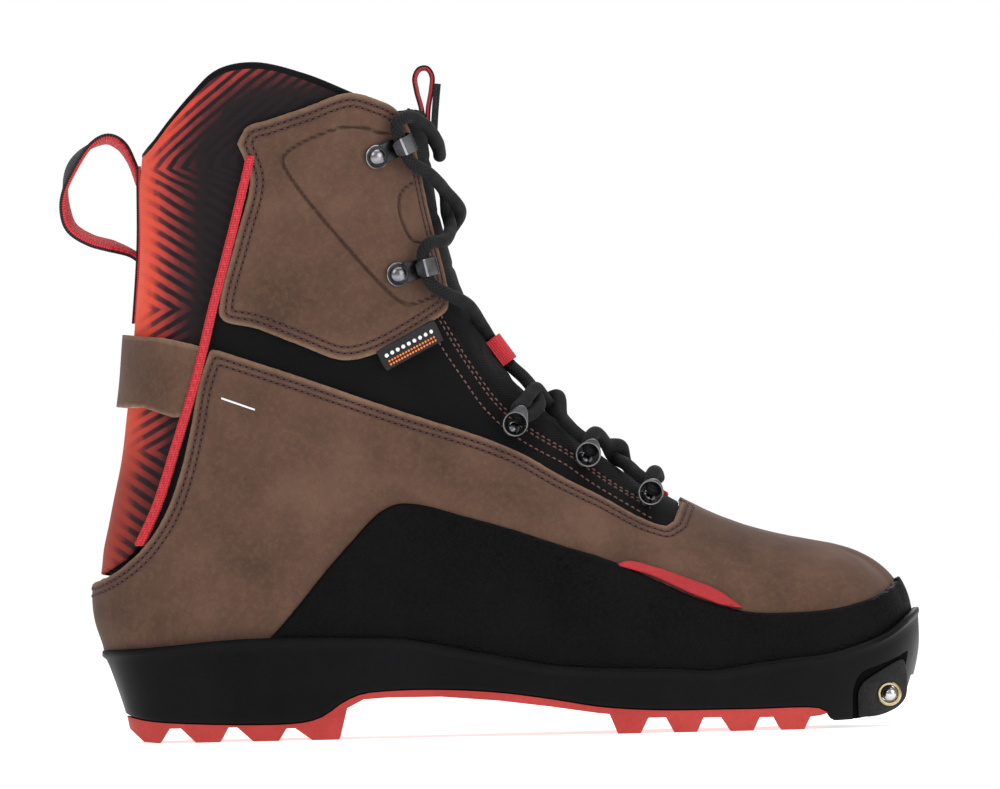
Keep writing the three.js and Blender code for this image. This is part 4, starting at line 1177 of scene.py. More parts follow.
SOLE_TOP = smooth([
    (-12, 34), (2, 35), (20, 36), (45, 38), (63, 38.5), (90, 38), (111, 37), (126, 34.5), (140, 31.5),
    (155, 28.5), (168, 26), (190, 24.5), (210, 23.8), (228, 22.8), (240, 24.5), (256, 26.5), (271, 28),
    (284, 31.5), (294, 35.5), (303, 42), (312, 50)])
SOLE_SEAM = smooth([
    (6, 11), (14, 8.8), (30, 7.2), (74, 6.7), (82, 9), (89, 13.8), (96, 16.8), (106, 17.8), (126, 17.9),
    (148, 16.3), (167, 13.5), (185, 10.3), (206, 8.6), (240, 8.2), (268, 7.6), (271, 5.5)])
SOLE_BLOCK = [(272.5, 2.9), (284, 3.2), (290, 4), (295.5, 5.2), (299.5, 8), (306, 13)]
SOLE_BOTTOM = np.vstack([SOLE_SEAM, SOLE_BLOCK])
SOLE_RIM = 5.2
WALL_BACK = 0.55
# How far the sole's wall stands out from the leather at a height: at the sides, the heel and the toe.
SIDE_TAPER = graph([(3, 3.9), (30, 4.8), (60, 4.9)])
HEEL_TAPER = graph([(3, -8.4), (11.6, -6.8), (20, -4.3), (28, -1.6), (35, 0.9), (60, 1.2)])
TOE_TAPER = graph([(3, -9), (5.8, -5.9), (9.6, -1.8), (14, 0.5), (24, 3.4), (32, 4.5), (46, 4.2)])
PLAN_COUNT = 300

turn = np.arange(PLAN_COUNT) / PLAN_COUNT * 2 * math.pi
PLAN_X = TOE_TIP * (1 - np.cos(turn)) / 2
PLAN_SIDE = -np.sign(np.round(np.sin(turn), 9))
PLAN = np.column_stack([PLAN_X, mid_y(PLAN_X) + PLAN_SIDE * half_width(PLAN_X, last_z(PLAN_X))])
ahead = np.roll(PLAN, -1, axis=0) - np.roll(PLAN, 1, axis=0)
PLAN_OUT = np.column_stack([ahead[:, 1], -ahead[:, 0]]) / np.linalg.norm(ahead, axis=1, keepdims=True)
HEEL_SHARE = np.maximum(0, -PLAN_OUT[:, 0]) ** 1.5
TOE_SHARE = np.maximum(0, PLAN_OUT[:, 0]) ** 1.5 * (PLAN_X > 200)


def plan_ring(offset, height):
    """Ring round the foot, a distance out from the leather and at a height."""
    return np.column_stack([PLAN + PLAN_OUT * np.broadcast_to(offset, PLAN_COUNT)[:, None],
                            np.broadcast_to(height, PLAN_COUNT)])


def wall_offset(height):
    sides = mix(SIDE_TAPER(height), HEEL_TAPER(height), HEEL_SHARE)
    return mix(sides, TOE_TAPER(height), TOE_SHARE)


def plan_solid(rings):
    """Closed solid from rings (out, height) round the foot, with flat strips across its top and bottom."""
    half = PLAN_COUNT // 2
    faces = grid_faces(len(rings), PLAN_COUNT)
    for start, turned in ((0, True), ((len(rings) - 1) * PLAN_COUNT, False)):
        for i in range(half):
            a, b = start + i, start + i + 1
            c, d = start + (PLAN_COUNT - i - 1) % PLAN_COUNT, start + (PLAN_COUNT - i) % PLAN_COUNT
            face = [p for k, p in enumerate((a, b, c, d)) if p not in (a, b, c, d)[:k]]
            faces.append(face[::-1] if turned else face)
    return np.vstack([plan_ring(*ring) for ring in rings]), faces


def across(line, span):
    """Closed prism over a side-view outline, across the boot from one y to another."""
    line = np.asarray(line, float)
    near, far = (np.column_stack([line[:, 0], np.full(len(line), float(y)), line[:, 1]]) for y in span)
    count = len(line)
    return np.vstack([near, far]), tube_faces(2, count)


def brick(x, y, z):
    return across([(x[0], z[0]), (x[1], z[0]), (x[1], z[1]), (x[0], z[1])], y)


def carved(piece, cuts, operation="DIFFERENCE", bevel=0):
    """Cuts solids from a piece, or keeps what they share, then rounds its sharp edges."""
    tools = [solid("tool", shape, [], body=None) for shape in cuts]
    for tool in tools:
        change = piece.modifiers.new("cut", "BOOLEAN")
        change.operation, change.object, change.solver = operation, tool, "MANIFOLD"
    if bevel:
        edge = piece.modifiers.new("edges", "BEVEL")
        edge.width, edge.segments, edge.angle_limit = bevel / 1000, 2, math.radians(40)
        edge.limit_method = "ANGLE"
    return applied(piece, tools)


def applied(piece, tools=()):
    """Turns a piece's modifiers into its mesh."""
    mesh = bpy.data.meshes.new_from_object(piece.evaluated_get(bpy.context.evaluated_depsgraph_get()))
    piece.modifiers.clear()
    piece.data = mesh
    mesh.shade_smooth()
    mesh.set_sharp_from_angle(angle=math.radians(32))
    for tool in tools:
        bpy.data.objects.remove(tool)
    return piece


def ring_height(line, offset):
    """Heights of a side-view line under or over a ring round the foot."""
    return np.interp(PLAN_X + PLAN_OUT[:, 0] * offset, *line.T)


BAR_RADIUS = 2.8
BAR_HALF = 29
FERRULE_RADIUS = 4.5
FERRULE_PLACE = 5.5  # its middle, in from the end of the bar
POCKET_FLOOR = 24
NOTCH_HALF = 14
FAR_OUT = 70  # past the sole's side
BAR_POCKET = smooth([
    (279.3, -2), (279.4, 8), (279.9, 15), (283, 20.6), (290, 23.4), (297, 26.2), (301, 28), (303, 22),
    (304, 12), (304, -2)])


def bar_bore(radius):
    """Cylinder along the toe bar, right through the sole."""
    return lathe([(radius, -40), (radius, 40)], BAR_PLACE, (0, 1, 0))


def sole():
    rim = wall_offset(ring_height(SOLE_TOP, SOLE_RIM))
    top = ring_height(SOLE_TOP, rim)
    inner = np.minimum(2.0, rim - 0.6)
    bottom = ring_height(SOLE_BOTTOM, wall_offset(12.0))
    # Out over the rim, down the wall, which stands back from the rim, and round the lower edge.
    rings = [(-1.5, last_z(PLAN_X) - 0.4), (inner - 0.2, top - 2.5), (inner, top - 0.5), (inner + 0.4, top - 0.1),
             (rim - 0.5, top), (rim - 0.1, top - 0.3), (rim, top - 0.9), (rim, top - 1.9), (rim - 0.3, top - 2.4)]
    wall = [mix(top - 3.0, bottom + 1.1, share) for share in np.linspace(0.02, 1, 14)]
    rings += [(wall_offset(height) - WALL_BACK, height) for height in wall]
    low = wall_offset(bottom + 1.1) - WALL_BACK
    rings += [(low - 0.2, bottom + 0.5), (low - 0.6, bottom + 0.15), (low - 1.3, bottom)]
    piece = solid("sole_shell", plan_solid(rings), [SOLE_RUBBER], slot="rubber", replaces=["sole_unit"])
    middle = BAR_PLACE[1]
    pockets = [across(BAR_POCKET, (middle + s * POCKET_FLOOR, middle + s * FAR_OUT)) for _, s in SIDES]
    notch = brick((284, 325), (middle - NOTCH_HALF, middle + NOTCH_HALF), (-6, 19))
    carved(piece, [*pockets, notch, bar_bore(FERRULE_RADIUS + 0.35)])


sole()

# The lugs in side view, heel to toe, and the grooves along the sole, from one y to another.
LUG_TEETH = [
    (20.5, 0), (24, 5.4), (28.5, 5.4), (34, 0), (43, 0), (46, 5.4), (49.5, 5.4), (55.5, 0), (65, 0), (68, 4.6),
    (71.2, 4.6), (77.5, 0), (87.5, 0), (90.5, 11.5), (97, 14.8), (106, 15.3), (126, 15.2), (148, 13.2),
    (167, 10.6), (184, 7.9), (188.5, 7.4), (191.5, 0), (200, 0), (203, 5.7), (209.5, 5.7), (212.5, 0),
    (221, 0), (223.5, 5.3), (230, 5.3), (233.5, 0), (242, 0), (244.5, 4.9), (250, 4.9), (252.5, 0), (261, 0),
    (263.5, 4.7), (267, 5)]
GUIDE_GROOVES = ((-18, -12), (12, 18))


def outsole():
    rings = [(wall_offset(z) - 0.8, z) for z in (30.0, 20.0, 14.0, 10.0, 7.0, 4.0, 1.0, -2.0)]
    piece = solid("outsole_lugs", plan_solid(rings), [RED_RUBBER], slot="red_rubber", replaces=["outsole"])
    profile = outline(moved(SOLE_SEAM[::4], dz=-0.2), LUG_TEETH[::-1], [(14.5, 0.6), (8, 6.5)])
    carved(piece, [across(profile, (-90, 90))], "INTERSECT")
    grooves = [brick(x, y, (-5, 3.6)) for y in GUIDE_GROOVES for x in ((27, 89), (189.5, 262))]
    carved(piece, grooves, bevel=0.5)


outsole()


def bar():
    end = [(0.05, 0), (1.1, 0.12), (1.9, 0.5), (2.4, 1.0), (2.7, 1.6), (BAR_RADIUS, 2.3)]
    profile = [(r, h - BAR_HALF) for r, h in end] + [(r, BAR_HALF - h) for r, h in end[::-1]]
    solid("toe_bar_pin", lathe(profile, BAR_PLACE, (0, 1, 0)), [STEEL], slot="steel", replaces=["toe_bar"])
    for side_name, side in SIDES:
        middle = BAR_PLACE + (0, side * (BAR_HALF - FERRULE_PLACE), 0)
        ring = [(3.1, -3.4), (3.1, 3.0), (3.4, 3.5), (4.1, 3.5), (FERRULE_RADIUS, 3.1), (FERRULE_RADIUS, -3.4)]
        solid(f"toe_bar_ferrule_{side_name}", lathe(ring, middle, (0, side, 0), closed=True), [BRASS],
              slot="brass", replaces=[f"toe_bar_bush_{side_name}"])


bar()

PLATE_BACK, PLATE_FACE = 20, 26.4  # mm out from the middle
PLATE = smooth([
    (281.8, 4.2), (281.6, 9), (281.9, 13.5), (284, 16.8), (287.5, 19.3), (292, 22), (296.3, 24.4), (298.9, 25),
    (300, 21.5), (300.3, 16), (299.6, 11), (297.2, 7.8), (292, 5), (286.5, 3.8), (282.2, 3.9)])[:-1]


def toe_plate(side_name, side):
    """Raised pad round the end of the bar, in the pocket of the sole."""
    middle = BAR_PLACE[1]
    shape = across(PLATE, (middle + side * PLATE_BACK, middle + side * PLATE_FACE))
    piece = solid(f"toe_plate_{side_name}", shape, [PLATE_RUBBER], slot="rubber")
    carved(piece, [bar_bore(FERRULE_RADIUS - 0.2)], bevel=0.4)


for side_name, side in SIDES:
    toe_plate(side_name, side)

# ---------------------------------------------------------------- hardware


def placed(points, spot, lean):
    """Points made with (u, v, out) moved to a spot on the boot, u leaning up by an angle."""
    point, normal = spot
    u = Vector((math.cos(lean), 0, math.sin(lean)))
    u = (u - normal * u.dot(normal)).normalized()
    frame = Matrix((u, normal.cross(u), normal)).transposed()
    return np.array([point + frame @ Vector(p) for p in points])


DOME_WALL = 0.15  # height of a dome's straight foot


def dome(radius, height):
    steps = np.linspace(0, math.pi / 2, 8)[1:]
    profile = [(radius, 0.0), (radius, DOME_WALL)]
    rise = height - DOME_WALL
    profile += [(max(radius * math.cos(t), 0.04), DOME_WALL + rise * math.sin(t)) for t in steps]
    return lathe(profile, (0, 0, 0), (0, 0, 1), 28)


WASHER_SEGMENTS = 40


def washer(radius, height):
    profile = [(0.05, 0), (radius - 0.2, 0), (radius, 0.2), (radius, height - 0.25), (radius - 0.25, height),
               (radius - 0.8, height), (radius - 1.0, height - 0.2), (0.05, height - 0.2)]
    return lathe(profile, (0, 0, 0), (0, 0, 1), WASHER_SEGMENTS)


def rivet(name, side_name, head, spot, lean):
    solid(f"{name}_dome_{side_name}", (placed(head[0], spot, lean), head[1]), [RIVET], slot="gunmetal",
          replaces=[f"{name}_{side_name}"])


HOOKS = (("upper", 106, 217, 0.38), ("lower", 113, 173, 0.22))
SEAT = 0.7
HOOK_DISC = 4.5


def kinds_of_rows(count, size, marks):
    """Material numbers of a grid's faces, 0 but for the rows in marks."""
    return [marks.get(r, 0) for r in range(count) for _ in range(size)]


def hook(name, x, z, lean, side_name, side):
    spot = on_surface(x, z, side, SEAT)
    neck = smooth([
        (1.5, 0.5), (6, 0.5), (11.2, 0.5), (13, 0.9), (13.9, 2.2), (14.1, 4.2), (13.8, 5.8), (13.2, 6.6)], 0.4)
    lip = smooth([(13.2, 6.6), (12.4, 6.95), (11, 7.0), (9.6, 6.85), (9.1, 6.6), (8.2, 5.9), (6.3, 4.5)], 0.22)

    def strip(path, half):
        line = np.column_stack([path[:, 0], np.zeros(len(path)), path[:, 1]])
        up = np.column_stack([-np.gradient(path[:, 1]), np.zeros(len(path)), np.gradient(path[:, 0])])
        return sweep(line, lambda i: rounded(half(i / (len(path) - 1)), 1.0, 0.3), up=up)

    wide, narrow = 3.8, 3.4
    body, faces = joined([washer(HOOK_DISC, 1.0), strip(neck, lambda t: mix(wide, narrow, t))])
    # painted highlight on the washer's top rim
    kinds = kinds_of_rows(4, WASHER_SEGMENTS, {3: 1})
    kinds += [0] * (len(faces) - len(kinds))
    solid(f"lace_hook_{name}_base_{side_name}", (placed(body, spot, lean), faces), [GUNMETAL, PAINTED_HIGHLIGHT_METAL],
          kinds=kinds, slot="gunmetal", replaces=[f"lace_hook_{name}_{side_name}"])
    tip, faces = strip(lip, lambda t: narrow * math.sqrt(max(1 - (max(t - 0.6, 0) / 0.5) ** 2, 0.05)))
    size = len(tip) // len(lip)
    # painted shade and light on the lip: its low curved facet in the darker metal, a painted highlight line after
    # it, the rest painted lit
    facets = {r: 2 if lip[r, 0] < 9.1 else 1 for r in range(len(lip) - 1) if lip[r, 0] < 9.7}
    kinds = kinds_of_rows(len(lip) - 1, size, facets) + [0, 2]
    solid(f"lace_hook_{name}_lip_{side_name}", (placed(tip, spot, lean), faces),
          [PAINTED_LIT_METAL, PAINTED_HIGHLIGHT_METAL, GUNMETAL], kinds=kinds, slot="gunmetal")
    rivet(f"hook_rivet_{name}", side_name, dome(3.1, 1.9), on_surface(x, z, side, SEAT + 0.9), lean)


EYELETS = (("top", 154.5, 114.5, 2.7), ("middle", 181, 101.5, 1.5), ("bottom", 204, 86.5, 0.7))
RING_LIFT = 4.4
RING_INNER = 4.0
RING_OUTER = 4.8
RING_BACK = 2.6
RING_FRONT = 2.3
CAP_TURN = math.radians(64)
RING_STEPS = 56
# Metal of the ring's faces round its section: painted highlight on the chamfers, painted light on the front face.
RING_KINDS = (0, 0, 1, 2, 1, 1, 0)


def eyelet(name, x, z, cap, side_name, side):
    """Thin ring round an axis across the boot, with a cap on top and a neck down to its riveted foot."""
    centre = np.array(on_surface(x, z, side, RING_LIFT)[0])
    points = []
    for turn in circle(RING_STEPS):
        top = RING_OUTER + cap * max(0, math.cos(turn - CAP_TURN)) ** 7
        section = [
            (-RING_BACK, RING_INNER), (-RING_BACK, top), (RING_FRONT - 0.3, top), (RING_FRONT, top - 0.25),
            (RING_FRONT, RING_INNER + 0.5), (RING_FRONT, RING_INNER + 0.25), (RING_FRONT - 0.3, RING_INNER)]
        points += [centre + (r * math.cos(turn), side * out, r * math.sin(turn)) for out, r in section]
    ring = np.array(points), grid_faces(RING_STEPS, len(RING_KINDS), closed_rows=True)
    foot = on_surface(centre[0] - 0.9, centre[2] - 1.5, side, -1.4)
    disc = washer(3.3, 1.6)
    start = np.array(foot[0] + foot[1] * 1.0) - (0.8, 0, 1.6)
    target = centre + (-0.68 * RING_OUTER, side * -1.2, -0.68 * RING_OUTER)
    neck = sweep(np.linspace(start, target, 6), lambda i: rounded(1.6, 0.9, 0.3), up=np.array([0.7, 0, 0.7]))
    points, faces = joined([ring, (placed(disc[0], foot, 0), disc[1]), neck])
    kinds = list(RING_KINDS) * RING_STEPS
    kinds += [0] * (len(faces) - len(kinds))
    solid(f"lace_eyelet_{name}_loop_{side_name}", (points, faces), [GUNMETAL, PAINTED_HIGHLIGHT_METAL, PAINTED_LIT_METAL],
          kinds=kinds, slot="gunmetal", replaces=[f"lace_eyelet_{name}_{side_name}"])
    rivet(f"eyelet_rivet_{name}", side_name, dome(2.5, 1.5), (foot[0] + foot[1] * 1.5, foot[1]), 0)


for side_name, side in SIDES:
    for name, x, z, lean in HOOKS:
        hook(name, x, z, lean, side_name, side)
    for name, x, z, cap in EYELETS:
        eyelet(name, x, z, cap, side_name, side)

# ---------------------------------------------------------------- lace

# One strand from the inner upper hook to the middle of the lowest bar; the other is its mirror
# image, moved by the last two numbers where it passes over.
STRAND = [
    (114.2, 43.9, 226.5), (116.4, 42.8, 221), (118.6, 41.7, 215.5), (125.8, 32, 210.5), (131.2, 17, 204.5),
    (132, 0, 196.5, 5, 0),
    (133.2, -17, 189.5), (130.6, -30.5, 185.5), (124.8, -39.5, 184), (122.8, -40.9, 180.5),
    (123.9, -40.6, 175.4), (125.1, -40.3, 170), (130.5, -37.5, 166), (138.8, -25.5, 161.5),
    (144, -9.5, 153.8), (147.6, -2.8, 147.7), (153.4, -2.8, 139.5), (161, -9, 131.8), (165, -19.5, 123.6),
    (162.6, -26, 120.4), (160, -29.8, 119), (157.8, -32.1, 118.6), (156.4, -32.9, 120), (156.8, -32.2, 122.2),
    (158.7, -29.6, 123.9), (161, -24.8, 126.6), (163.9, -16.5, 129.5), (167, -8, 125.5),
    (169.1, 0, 122.4, 3.1, 3.9),
    (173.5, 12, 118), (179.3, 22.5, 111.8), (184.3, 26.2, 108.2), (184.6, 28.8, 105.8), (183.5, 30, 106),
    (182.8, 29.8, 108), (183.6, 28, 110.2), (185.2, 24.8, 112), (186.6, 20.5, 112), (189.8, 10, 108),
    (192.2, 0.8, 103.2, 3, 3.9),
    (197.3, -12, 100), (202.6, -22.5, 95.2), (207.3, -26.1, 92.2), (207.7, -28.3, 90.4), (206.6, -29.2, 91.2),
    (206, -28.8, 93.2), (206.5, -26.8, 95.3), (207.4, -22.8, 96.9), (208.2, -15.5, 97), (209, 1.3, 95)]
TOP_BAR = [
    (114.4, -43.6, 229.5), (118.5, -38.5, 231.8), (124.5, -28, 229), (129, -14, 222.5), (129.8, 0, 217.5),
    (129, 14, 221), (124.5, 28, 228), (118.5, 38.5, 232), (114.6, 43.6, 231), (114, 44, 227.2)]
LACE_RADIUS = 2.3
BRAID = {"strands": 8, "lay": 12.0, "depth": 0.45, "step": 0.36, "around": 32}


def lace():
    there = [p[:3] for p in STRAND]
    back = []
    for x, y, z, *shift in STRAND[-2::-1]:
        dx, dz = shift or (0, 0)
        back.append((x + dx, 2 * mid_y(x) - y, z + dz))
    route = smooth([*there, *back, *TOP_BAR], BRAID["step"])
    turns = circle(BRAID["around"])
    last = len(route) - 1

    def over(i):
        """How high the points of one ring stand on their strands, 0 to 1."""
        twist = BRAID["strands"] * 2 * math.pi * i * BRAID["step"] / BRAID["lay"]
        crossing = [np.cos(BRAID["strands"] * turns + way * twist) for way in (1, -1)]
        return 0.5 + 0.5 * np.maximum(*crossing)

    def section(i):
        end = min(i, last - i) * BRAID["step"]
        radius = (LACE_RADIUS + BRAID["depth"] * (over(i) - 0.6)) * min(1, 0.35 + end / 1.6)
        return np.column_stack([radius * np.cos(turns), radius * np.sin(turns)])

    # the heights also go to the material, which paints highlight and shade from them
    numbers = {"over": np.concatenate([over(i) for i in range(len(route))])}
    solid("lace_braid", sweep(route, section), [CORD], sharp=180, numbers=numbers, slot="cord",
          replaces=["lace"])


lace()

# ---------------------------------------------------------------- webbing loops and trim


def flat(t):
    return 0.0


def band(name, line, half, thick, materials, body="root", flare=flat, necks=None, bend=None, replaces=()):
    """Two-ply webbing along a side-view line, with the outer ply to its left.

    flare(share of the length) is how far it leans, and necks are half widths at such shares. A bend is
    two bodies and two heights, which are not used; given one, the webbing goes on no body, its place baked in.
    """
    path = np.column_stack([line[:, 0], np.zeros(len(line)), line[:, 1]])
    ways = np.gradient(line, axis=0)
    up = np.column_stack([-ways[:, 1], np.zeros(len(line)), ways[:, 0]])
    place = np.linspace(0, 1, len(line))
    for ply, (material, shift) in enumerate(zip(materials, (thick / 4, -thick / 4))):
        def section(i):
            width = half if necks is None else np.interp(place[i], *necks)
            part = rounded(width, thick / 2 - 0.04, min(0.25, thick / 5))
            part[:, 1] += shift + part[:, 0] * flare(place[i])
            return part
        points, faces = sweep(path, section, up=up)
        size = len(points) // len(line)
        along = np.repeat(place * len(line), size)
        piece = solid(f"{name}_{('outer', 'inner')[ply]}", (points, faces), [material], slot="webbing",
                      body=None if bend else body, numbers={"along": along, "across": points[:, 1]},
                      replaces=replaces if ply == 0 else ())
        if bend:
            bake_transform(piece)


HEEL_LOOP = smooth([
    (17.5, 180.5), (13.5, 183.4), (7, 186), (-2, 188.8), (-8.8, 193.5), (-11, 200), (-10.8, 208), (-7.5, 217),
    (-1, 224), (5.5, 226.5), (10.5, 224), (14.2, 218), (17.2, 209)])
TONGUE_LOOP = smooth([
    (124.2, 227), (123.4, 235), (121.7, 242), (121.2, 247), (123, 250), (125.8, 250.2), (127.6, 247.3),
    (127.2, 242), (125.9, 235), (125.5, 227)], 0.6)
TONGUE_TAB = smooth([(127.9, 226), (128.6, 235), (129.6, 244.4)], 0.6)
NECK = ((0, 0.1, 0.2, 0.86, 0.94, 1), (2, 2.6, 5.5, 5.5, 2.6, 2))  # half widths along the heel loop
SEWN_IN = ("tongue", "tongue_loop", 231.5, 238.5)


def heel_twist(t):
    """How the heel loop leans over along its length, turning its back to the side for a short way."""
    return 0.5 * math.exp(-(((t - 0.42) / 0.13) ** 2)) - 0.26


band("heel_loop_ply", HEEL_LOOP[::-1], 5.5, thick=2.2, materials=(WEB_RED, WEB_BLACK), body="heel_loop",
     flare=heel_twist, necks=NECK, replaces=["heel_loop"])
band("tongue_loop_ply", TONGUE_LOOP[::-1], 4.8, thick=1.4, materials=(WEB_RED, WEB_BLACK),
     flare=lambda t: -0.07, bend=SEWN_IN, replaces=["tongue_loop"])
band("tongue_tab_ply", TONGUE_TAB[::-1], 4.6, thick=2.6, materials=(WEB_BLACK, WEB_BLACK), bend=SEWN_IN)

BACK_HEIGHTS = np.arange(157, 217.0)
BACK_TAPE = np.column_stack([back_x(BACK_HEIGHTS) + 1.5, BACK_HEIGHTS])
band("heel_tape_ply", BACK_TAPE, 5.3, thick=1.6, materials=(WEB_BLACK, WEB_RED), replaces=["heel_loop_tape"])

KEEPER = {"place": (148.1, 0, 141.9), "slope": 0.956, "half": 5.5}


def keeper():
    """Red strap over the tongue that the two strands run under."""
    step = 0.5
    arch = smooth([(-7.2, 0.8), (-6.6, 4.4), (-4.4, 6.1), (0, 6.5), (4.4, 6.1), (6.6, 4.4), (7.2, 0.8)], step)
    sideways = np.array([0, 1, 0])
    out = np.array([math.sin(KEEPER["slope"]), 0, math.cos(KEEPER["slope"])])
    path = np.array(KEEPER["place"]) + arch[:, :1] * sideways + arch[:, 1:] * out
    way = np.gradient(arch, axis=0)
    section = rounded(KEEPER["half"], 1.1, 0.3)
    shape = sweep(path, lambda i: section, up=-way[:, 1:] * sideways + way[:, :1] * out)
    numbers = {"along": np.repeat(np.arange(len(path)) * step, len(section)),
               "across": np.tile(section[:, 0], len(path))}
    solid("lace_keeper_strap", shape, [WEB_RED], numbers=numbers, slot="webbing", replaces=["lace_keeper"])


keeper()


def throat_gusset():
    """Cloth at the foot of the tongue, between the two eyestays and under the leather."""
    patch = Patch().bound([(204.5, 66), (216.5, 66), (217.5, 99), (204.5, 99)])
    shell("throat_gusset_cloth", patch, outer=-1.9, inner=-3.4, materials=[SOFT_BLACK], slot="black_fabric")


throat_gusset()


def throat_tab():
    patch = Patch().bound([(206.5, 70), (213.3, 70), (213.3, 99), (206.5, 99)])
    patch.numbers["width"] = patch.points[:, 1]
    patch.cut("width", -6, 8).trim("width", -6).trim("width", 8, above=False)
    patch.numbers["along"], patch.numbers["across"] = patch.points[:, 0], patch.points[:, 1]
    shell("throat_tab_tape", patch, outer=-0.7, inner=-2.0, materials=[WEB_RED], slot="webbing",
          replaces=["throat_tab"])


throat_tab()

LABEL_CORNERS = [(104.5, 144.5), (126, 156), (129.5, 148), (108, 137)]
# Name, material, heights of the rows as shares of the label's, radius, and dots in a row.
LABEL_DOTS = (("label_dots_white", WHITE_PRINT_AND_HIGHLIGHT, (0.62,), 0.75, 9),
              ("label_dots_orange", DOT_ORANGE, (0.18, 0.34), 0.42, 17))


def label():
    """Black tag with rows of dots where the real one has its text."""
    patch = Patch(-1).bound(LABEL_CORNERS)
    shell("side_label_tag", patch, outer=1.1, inner=0.4, materials=[LABEL], rounding=0.3,
          slot="black_fabric", replaces=["side_label"])
    corner = np.array(LABEL_CORNERS[3], float)
    along = np.array(LABEL_CORNERS[2], float) - corner
    up = np.array(LABEL_CORNERS[0], float) - corner
    for name, material, rows, radius, count in LABEL_DOTS:
        points, faces = dome(radius, 0.3)
        parts = []
        for level in rows:
            for share in np.linspace(0.12, 0.88, count):
                x, z = corner + along * share + up * level
                parts.append((placed(points, on_surface(x, z, -1, 1.05), 0), faces))
        solid(name, joined(parts), [material], slot="black_fabric")


label()

# A thin white strip on the outer side's lower leather: a painted highlight on the leather.
DASH = spaced([(46.4, 128.4), (58.8, 123.8)], 1)


def dash():
    path = lift(DASH, -1)
    out = np.array([on_surface(x, z, -1, 0)[1] for x, z in DASH])
    solid("side_dash_highlight", sweep(path + out * 0.35, lambda i: rounded(0.34, 0.3, 0.1), up=out), [WHITE_PRINT_AND_HIGHLIGHT],
          slot="leather")


dash()

# ---------------------------------------------------------------- padded and inside pieces


PRESSURE = 4
CLOTH_FRAMES = 20


def swollen(piece, cap, voxel):
    """Blows up a closed piece with a cloth simulation; no point moves further than cap millimetres."""
    remesh = piece.modifiers.new("even", "REMESH")
    remesh.mode, remesh.voxel_size = "VOXEL", voxel / 1000
    applied(piece)
    count = len(piece.data.vertices)
    rest = np.zeros(count * 3)
    piece.data.vertices.foreach_get("co", rest)
    cloth = piece.modifiers.new("cloth", "CLOTH")
    cloth.settings.use_pressure = True
    cloth.settings.uniform_pressure_force = PRESSURE
    cloth.settings.effector_weights.gravity = 0
    cloth.point_cache.frame_end = CLOTH_FRAMES
    for number in range(1, CLOTH_FRAMES + 1):
        bpy.context.scene.frame_set(number)
    result = piece.evaluated_get(bpy.context.evaluated_depsgraph_get()).to_mesh()
    blown = np.zeros(count * 3)
    result.vertices.foreach_get("co", blown)
    piece.modifiers.clear()
    bpy.context.scene.frame_set(1)
    move = (blown - rest).reshape(-1, 3)
    length = np.linalg.norm(move, axis=1, keepdims=True)
    move *= np.minimum(1, cap / 1000 / np.maximum(length, 1e-9))
    piece.data.vertices.foreach_set("co", (rest.reshape(-1, 3) + move).ravel())
    divide = piece.modifiers.new("finer", "SUBSURF")
    divide.levels = divide.render_levels = 1
    return applied(piece)


def channels(piece, rows, depth, width):
    """Sinks a piece's skin along height lines, where it is quilted; rows are heights in the part."""
    mesh = piece.data
    places = np.zeros(len(mesh.vertices) * 3)
    outs = np.zeros(len(mesh.vertices) * 3)
    mesh.vertices.foreach_get("co", places)
    mesh.vertex_normals.foreach_get("vector", outs)
    heights = places[2::3] * 1000 - SHIFT[2]
    sink = sum(np.exp(-(((heights - row_height) / width) ** 2)) for row_height in rows)
    mesh.vertices.foreach_set("co", places - outs * np.repeat(sink, 3) * depth / 1000)


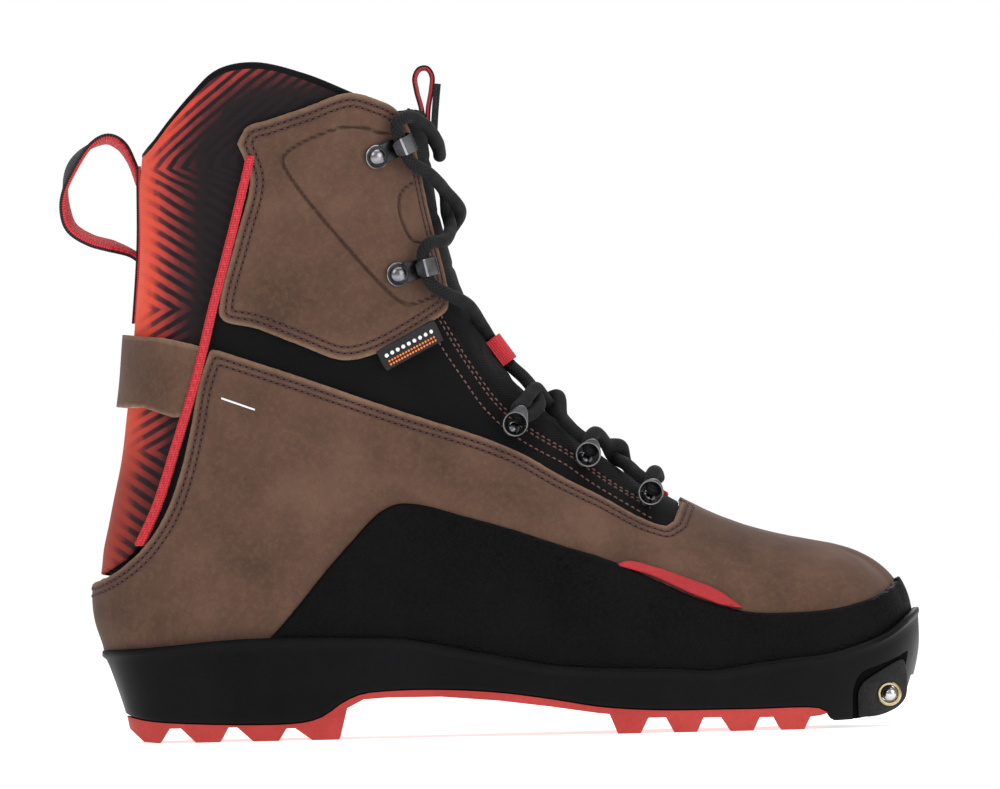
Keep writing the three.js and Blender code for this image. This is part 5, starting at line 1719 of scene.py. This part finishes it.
def tongue():
    patch = Patch().bound(outline(
        TONGUE_BACK[TONGUE_BACK[:, 1] < 232], [(213, 70), (212, 90), (240, 110), (160, 235.5), (125, 235.5)]))
    patch.numbers["wave"] = patch.wrinkles(16, 0.4)

    def outer(p):
        return TONGUE_FACE + 0.5 * smoothstep(0, 8, p.numbers["edge"]) + p.numbers["wave"]

    piece = shell("tongue_pad", patch, outer, PAD_FACE, [TONGUE_BLACK], rounding=0.8, slot="black_fabric",
                  body=None, replaces=["tongue_lower", "tongue_upper"])
    swollen(piece, cap=0.9, voxel=1.5)
    channels(piece, (176, 196, 216), depth=0.5, width=1.2)
    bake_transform(piece)


tongue()


def collar_padding():
    rim = moved(RIM, dz=-4)
    patch = Patch().bound(outline(
        [(-20, 197), (91, 197), (93, 200), (94, 238)], rim[rim[:, 0] < 94][::-1], [(-20, 214)]))
    piece = shell("collar_pad", patch, outer=PAD_FACE, inner=-10, materials=[LINING], rounding=0.8,
                  slot="foam", replaces=["collar_padding"])
    swollen(piece, cap=1.4, voxel=1.7)
    channels(piece, (210, 224), depth=0.8, width=1.5)


collar_padding()


def lining():
    patch = Patch().bound(outline(
        last_line(2.8), [(330, 62), (228, 62)], LINING_FRONT[LINING_FRONT[:, 1] < 196][::-1], [(-20, 196)]))
    shell("lining_sock", patch, outer=-6.6, inner=-8.2, materials=[LINING], slot="lining", replaces=["lining"])


lining()


def footbed():
    floor_z = last_z(PLAN_X)
    rings = [(-16, floor_z + 7.6), (-12, floor_z + 8.2), (-9.6, floor_z + 8.9), (-8.9, floor_z + 8.6),
             (-9.0, floor_z + 5.2), (-9.6, floor_z + 4.7)]
    solid("footbed_foam", plan_solid(rings), [LINING], slot="foam", replaces=["footbed"])


footbed()

COUNTER_TOP = [(-15, 52), (-2, 56), (12, 61), (24, 68), (34, 74), (52, 76), (62, 62), (74, 46), (80, 38)]
STIFFENERS = (
    ("heel_counter", outline(last_line(0.5, end=80), COUNTER_TOP[::-1])),
    ("toe_puff", outline(last_line(0.5, start=265), [(330, 80), (262, 80), (258, 45), (262, 29)])))
for name, line in STIFFENERS:
    shell(f"{name}_board", Patch().bound(line), outer=-2.3, inner=-4.0, materials=[BOARD], slot="board",
          replaces=[name])

HIDDEN_LOOKS = {"insole_board": BOARD, "shank": STEEL}
for name, material in HIDDEN_LOOKS.items():
    looks = frame["nodes"][name].data.materials
    for index in range(len(looks)):
        looks[index] = material
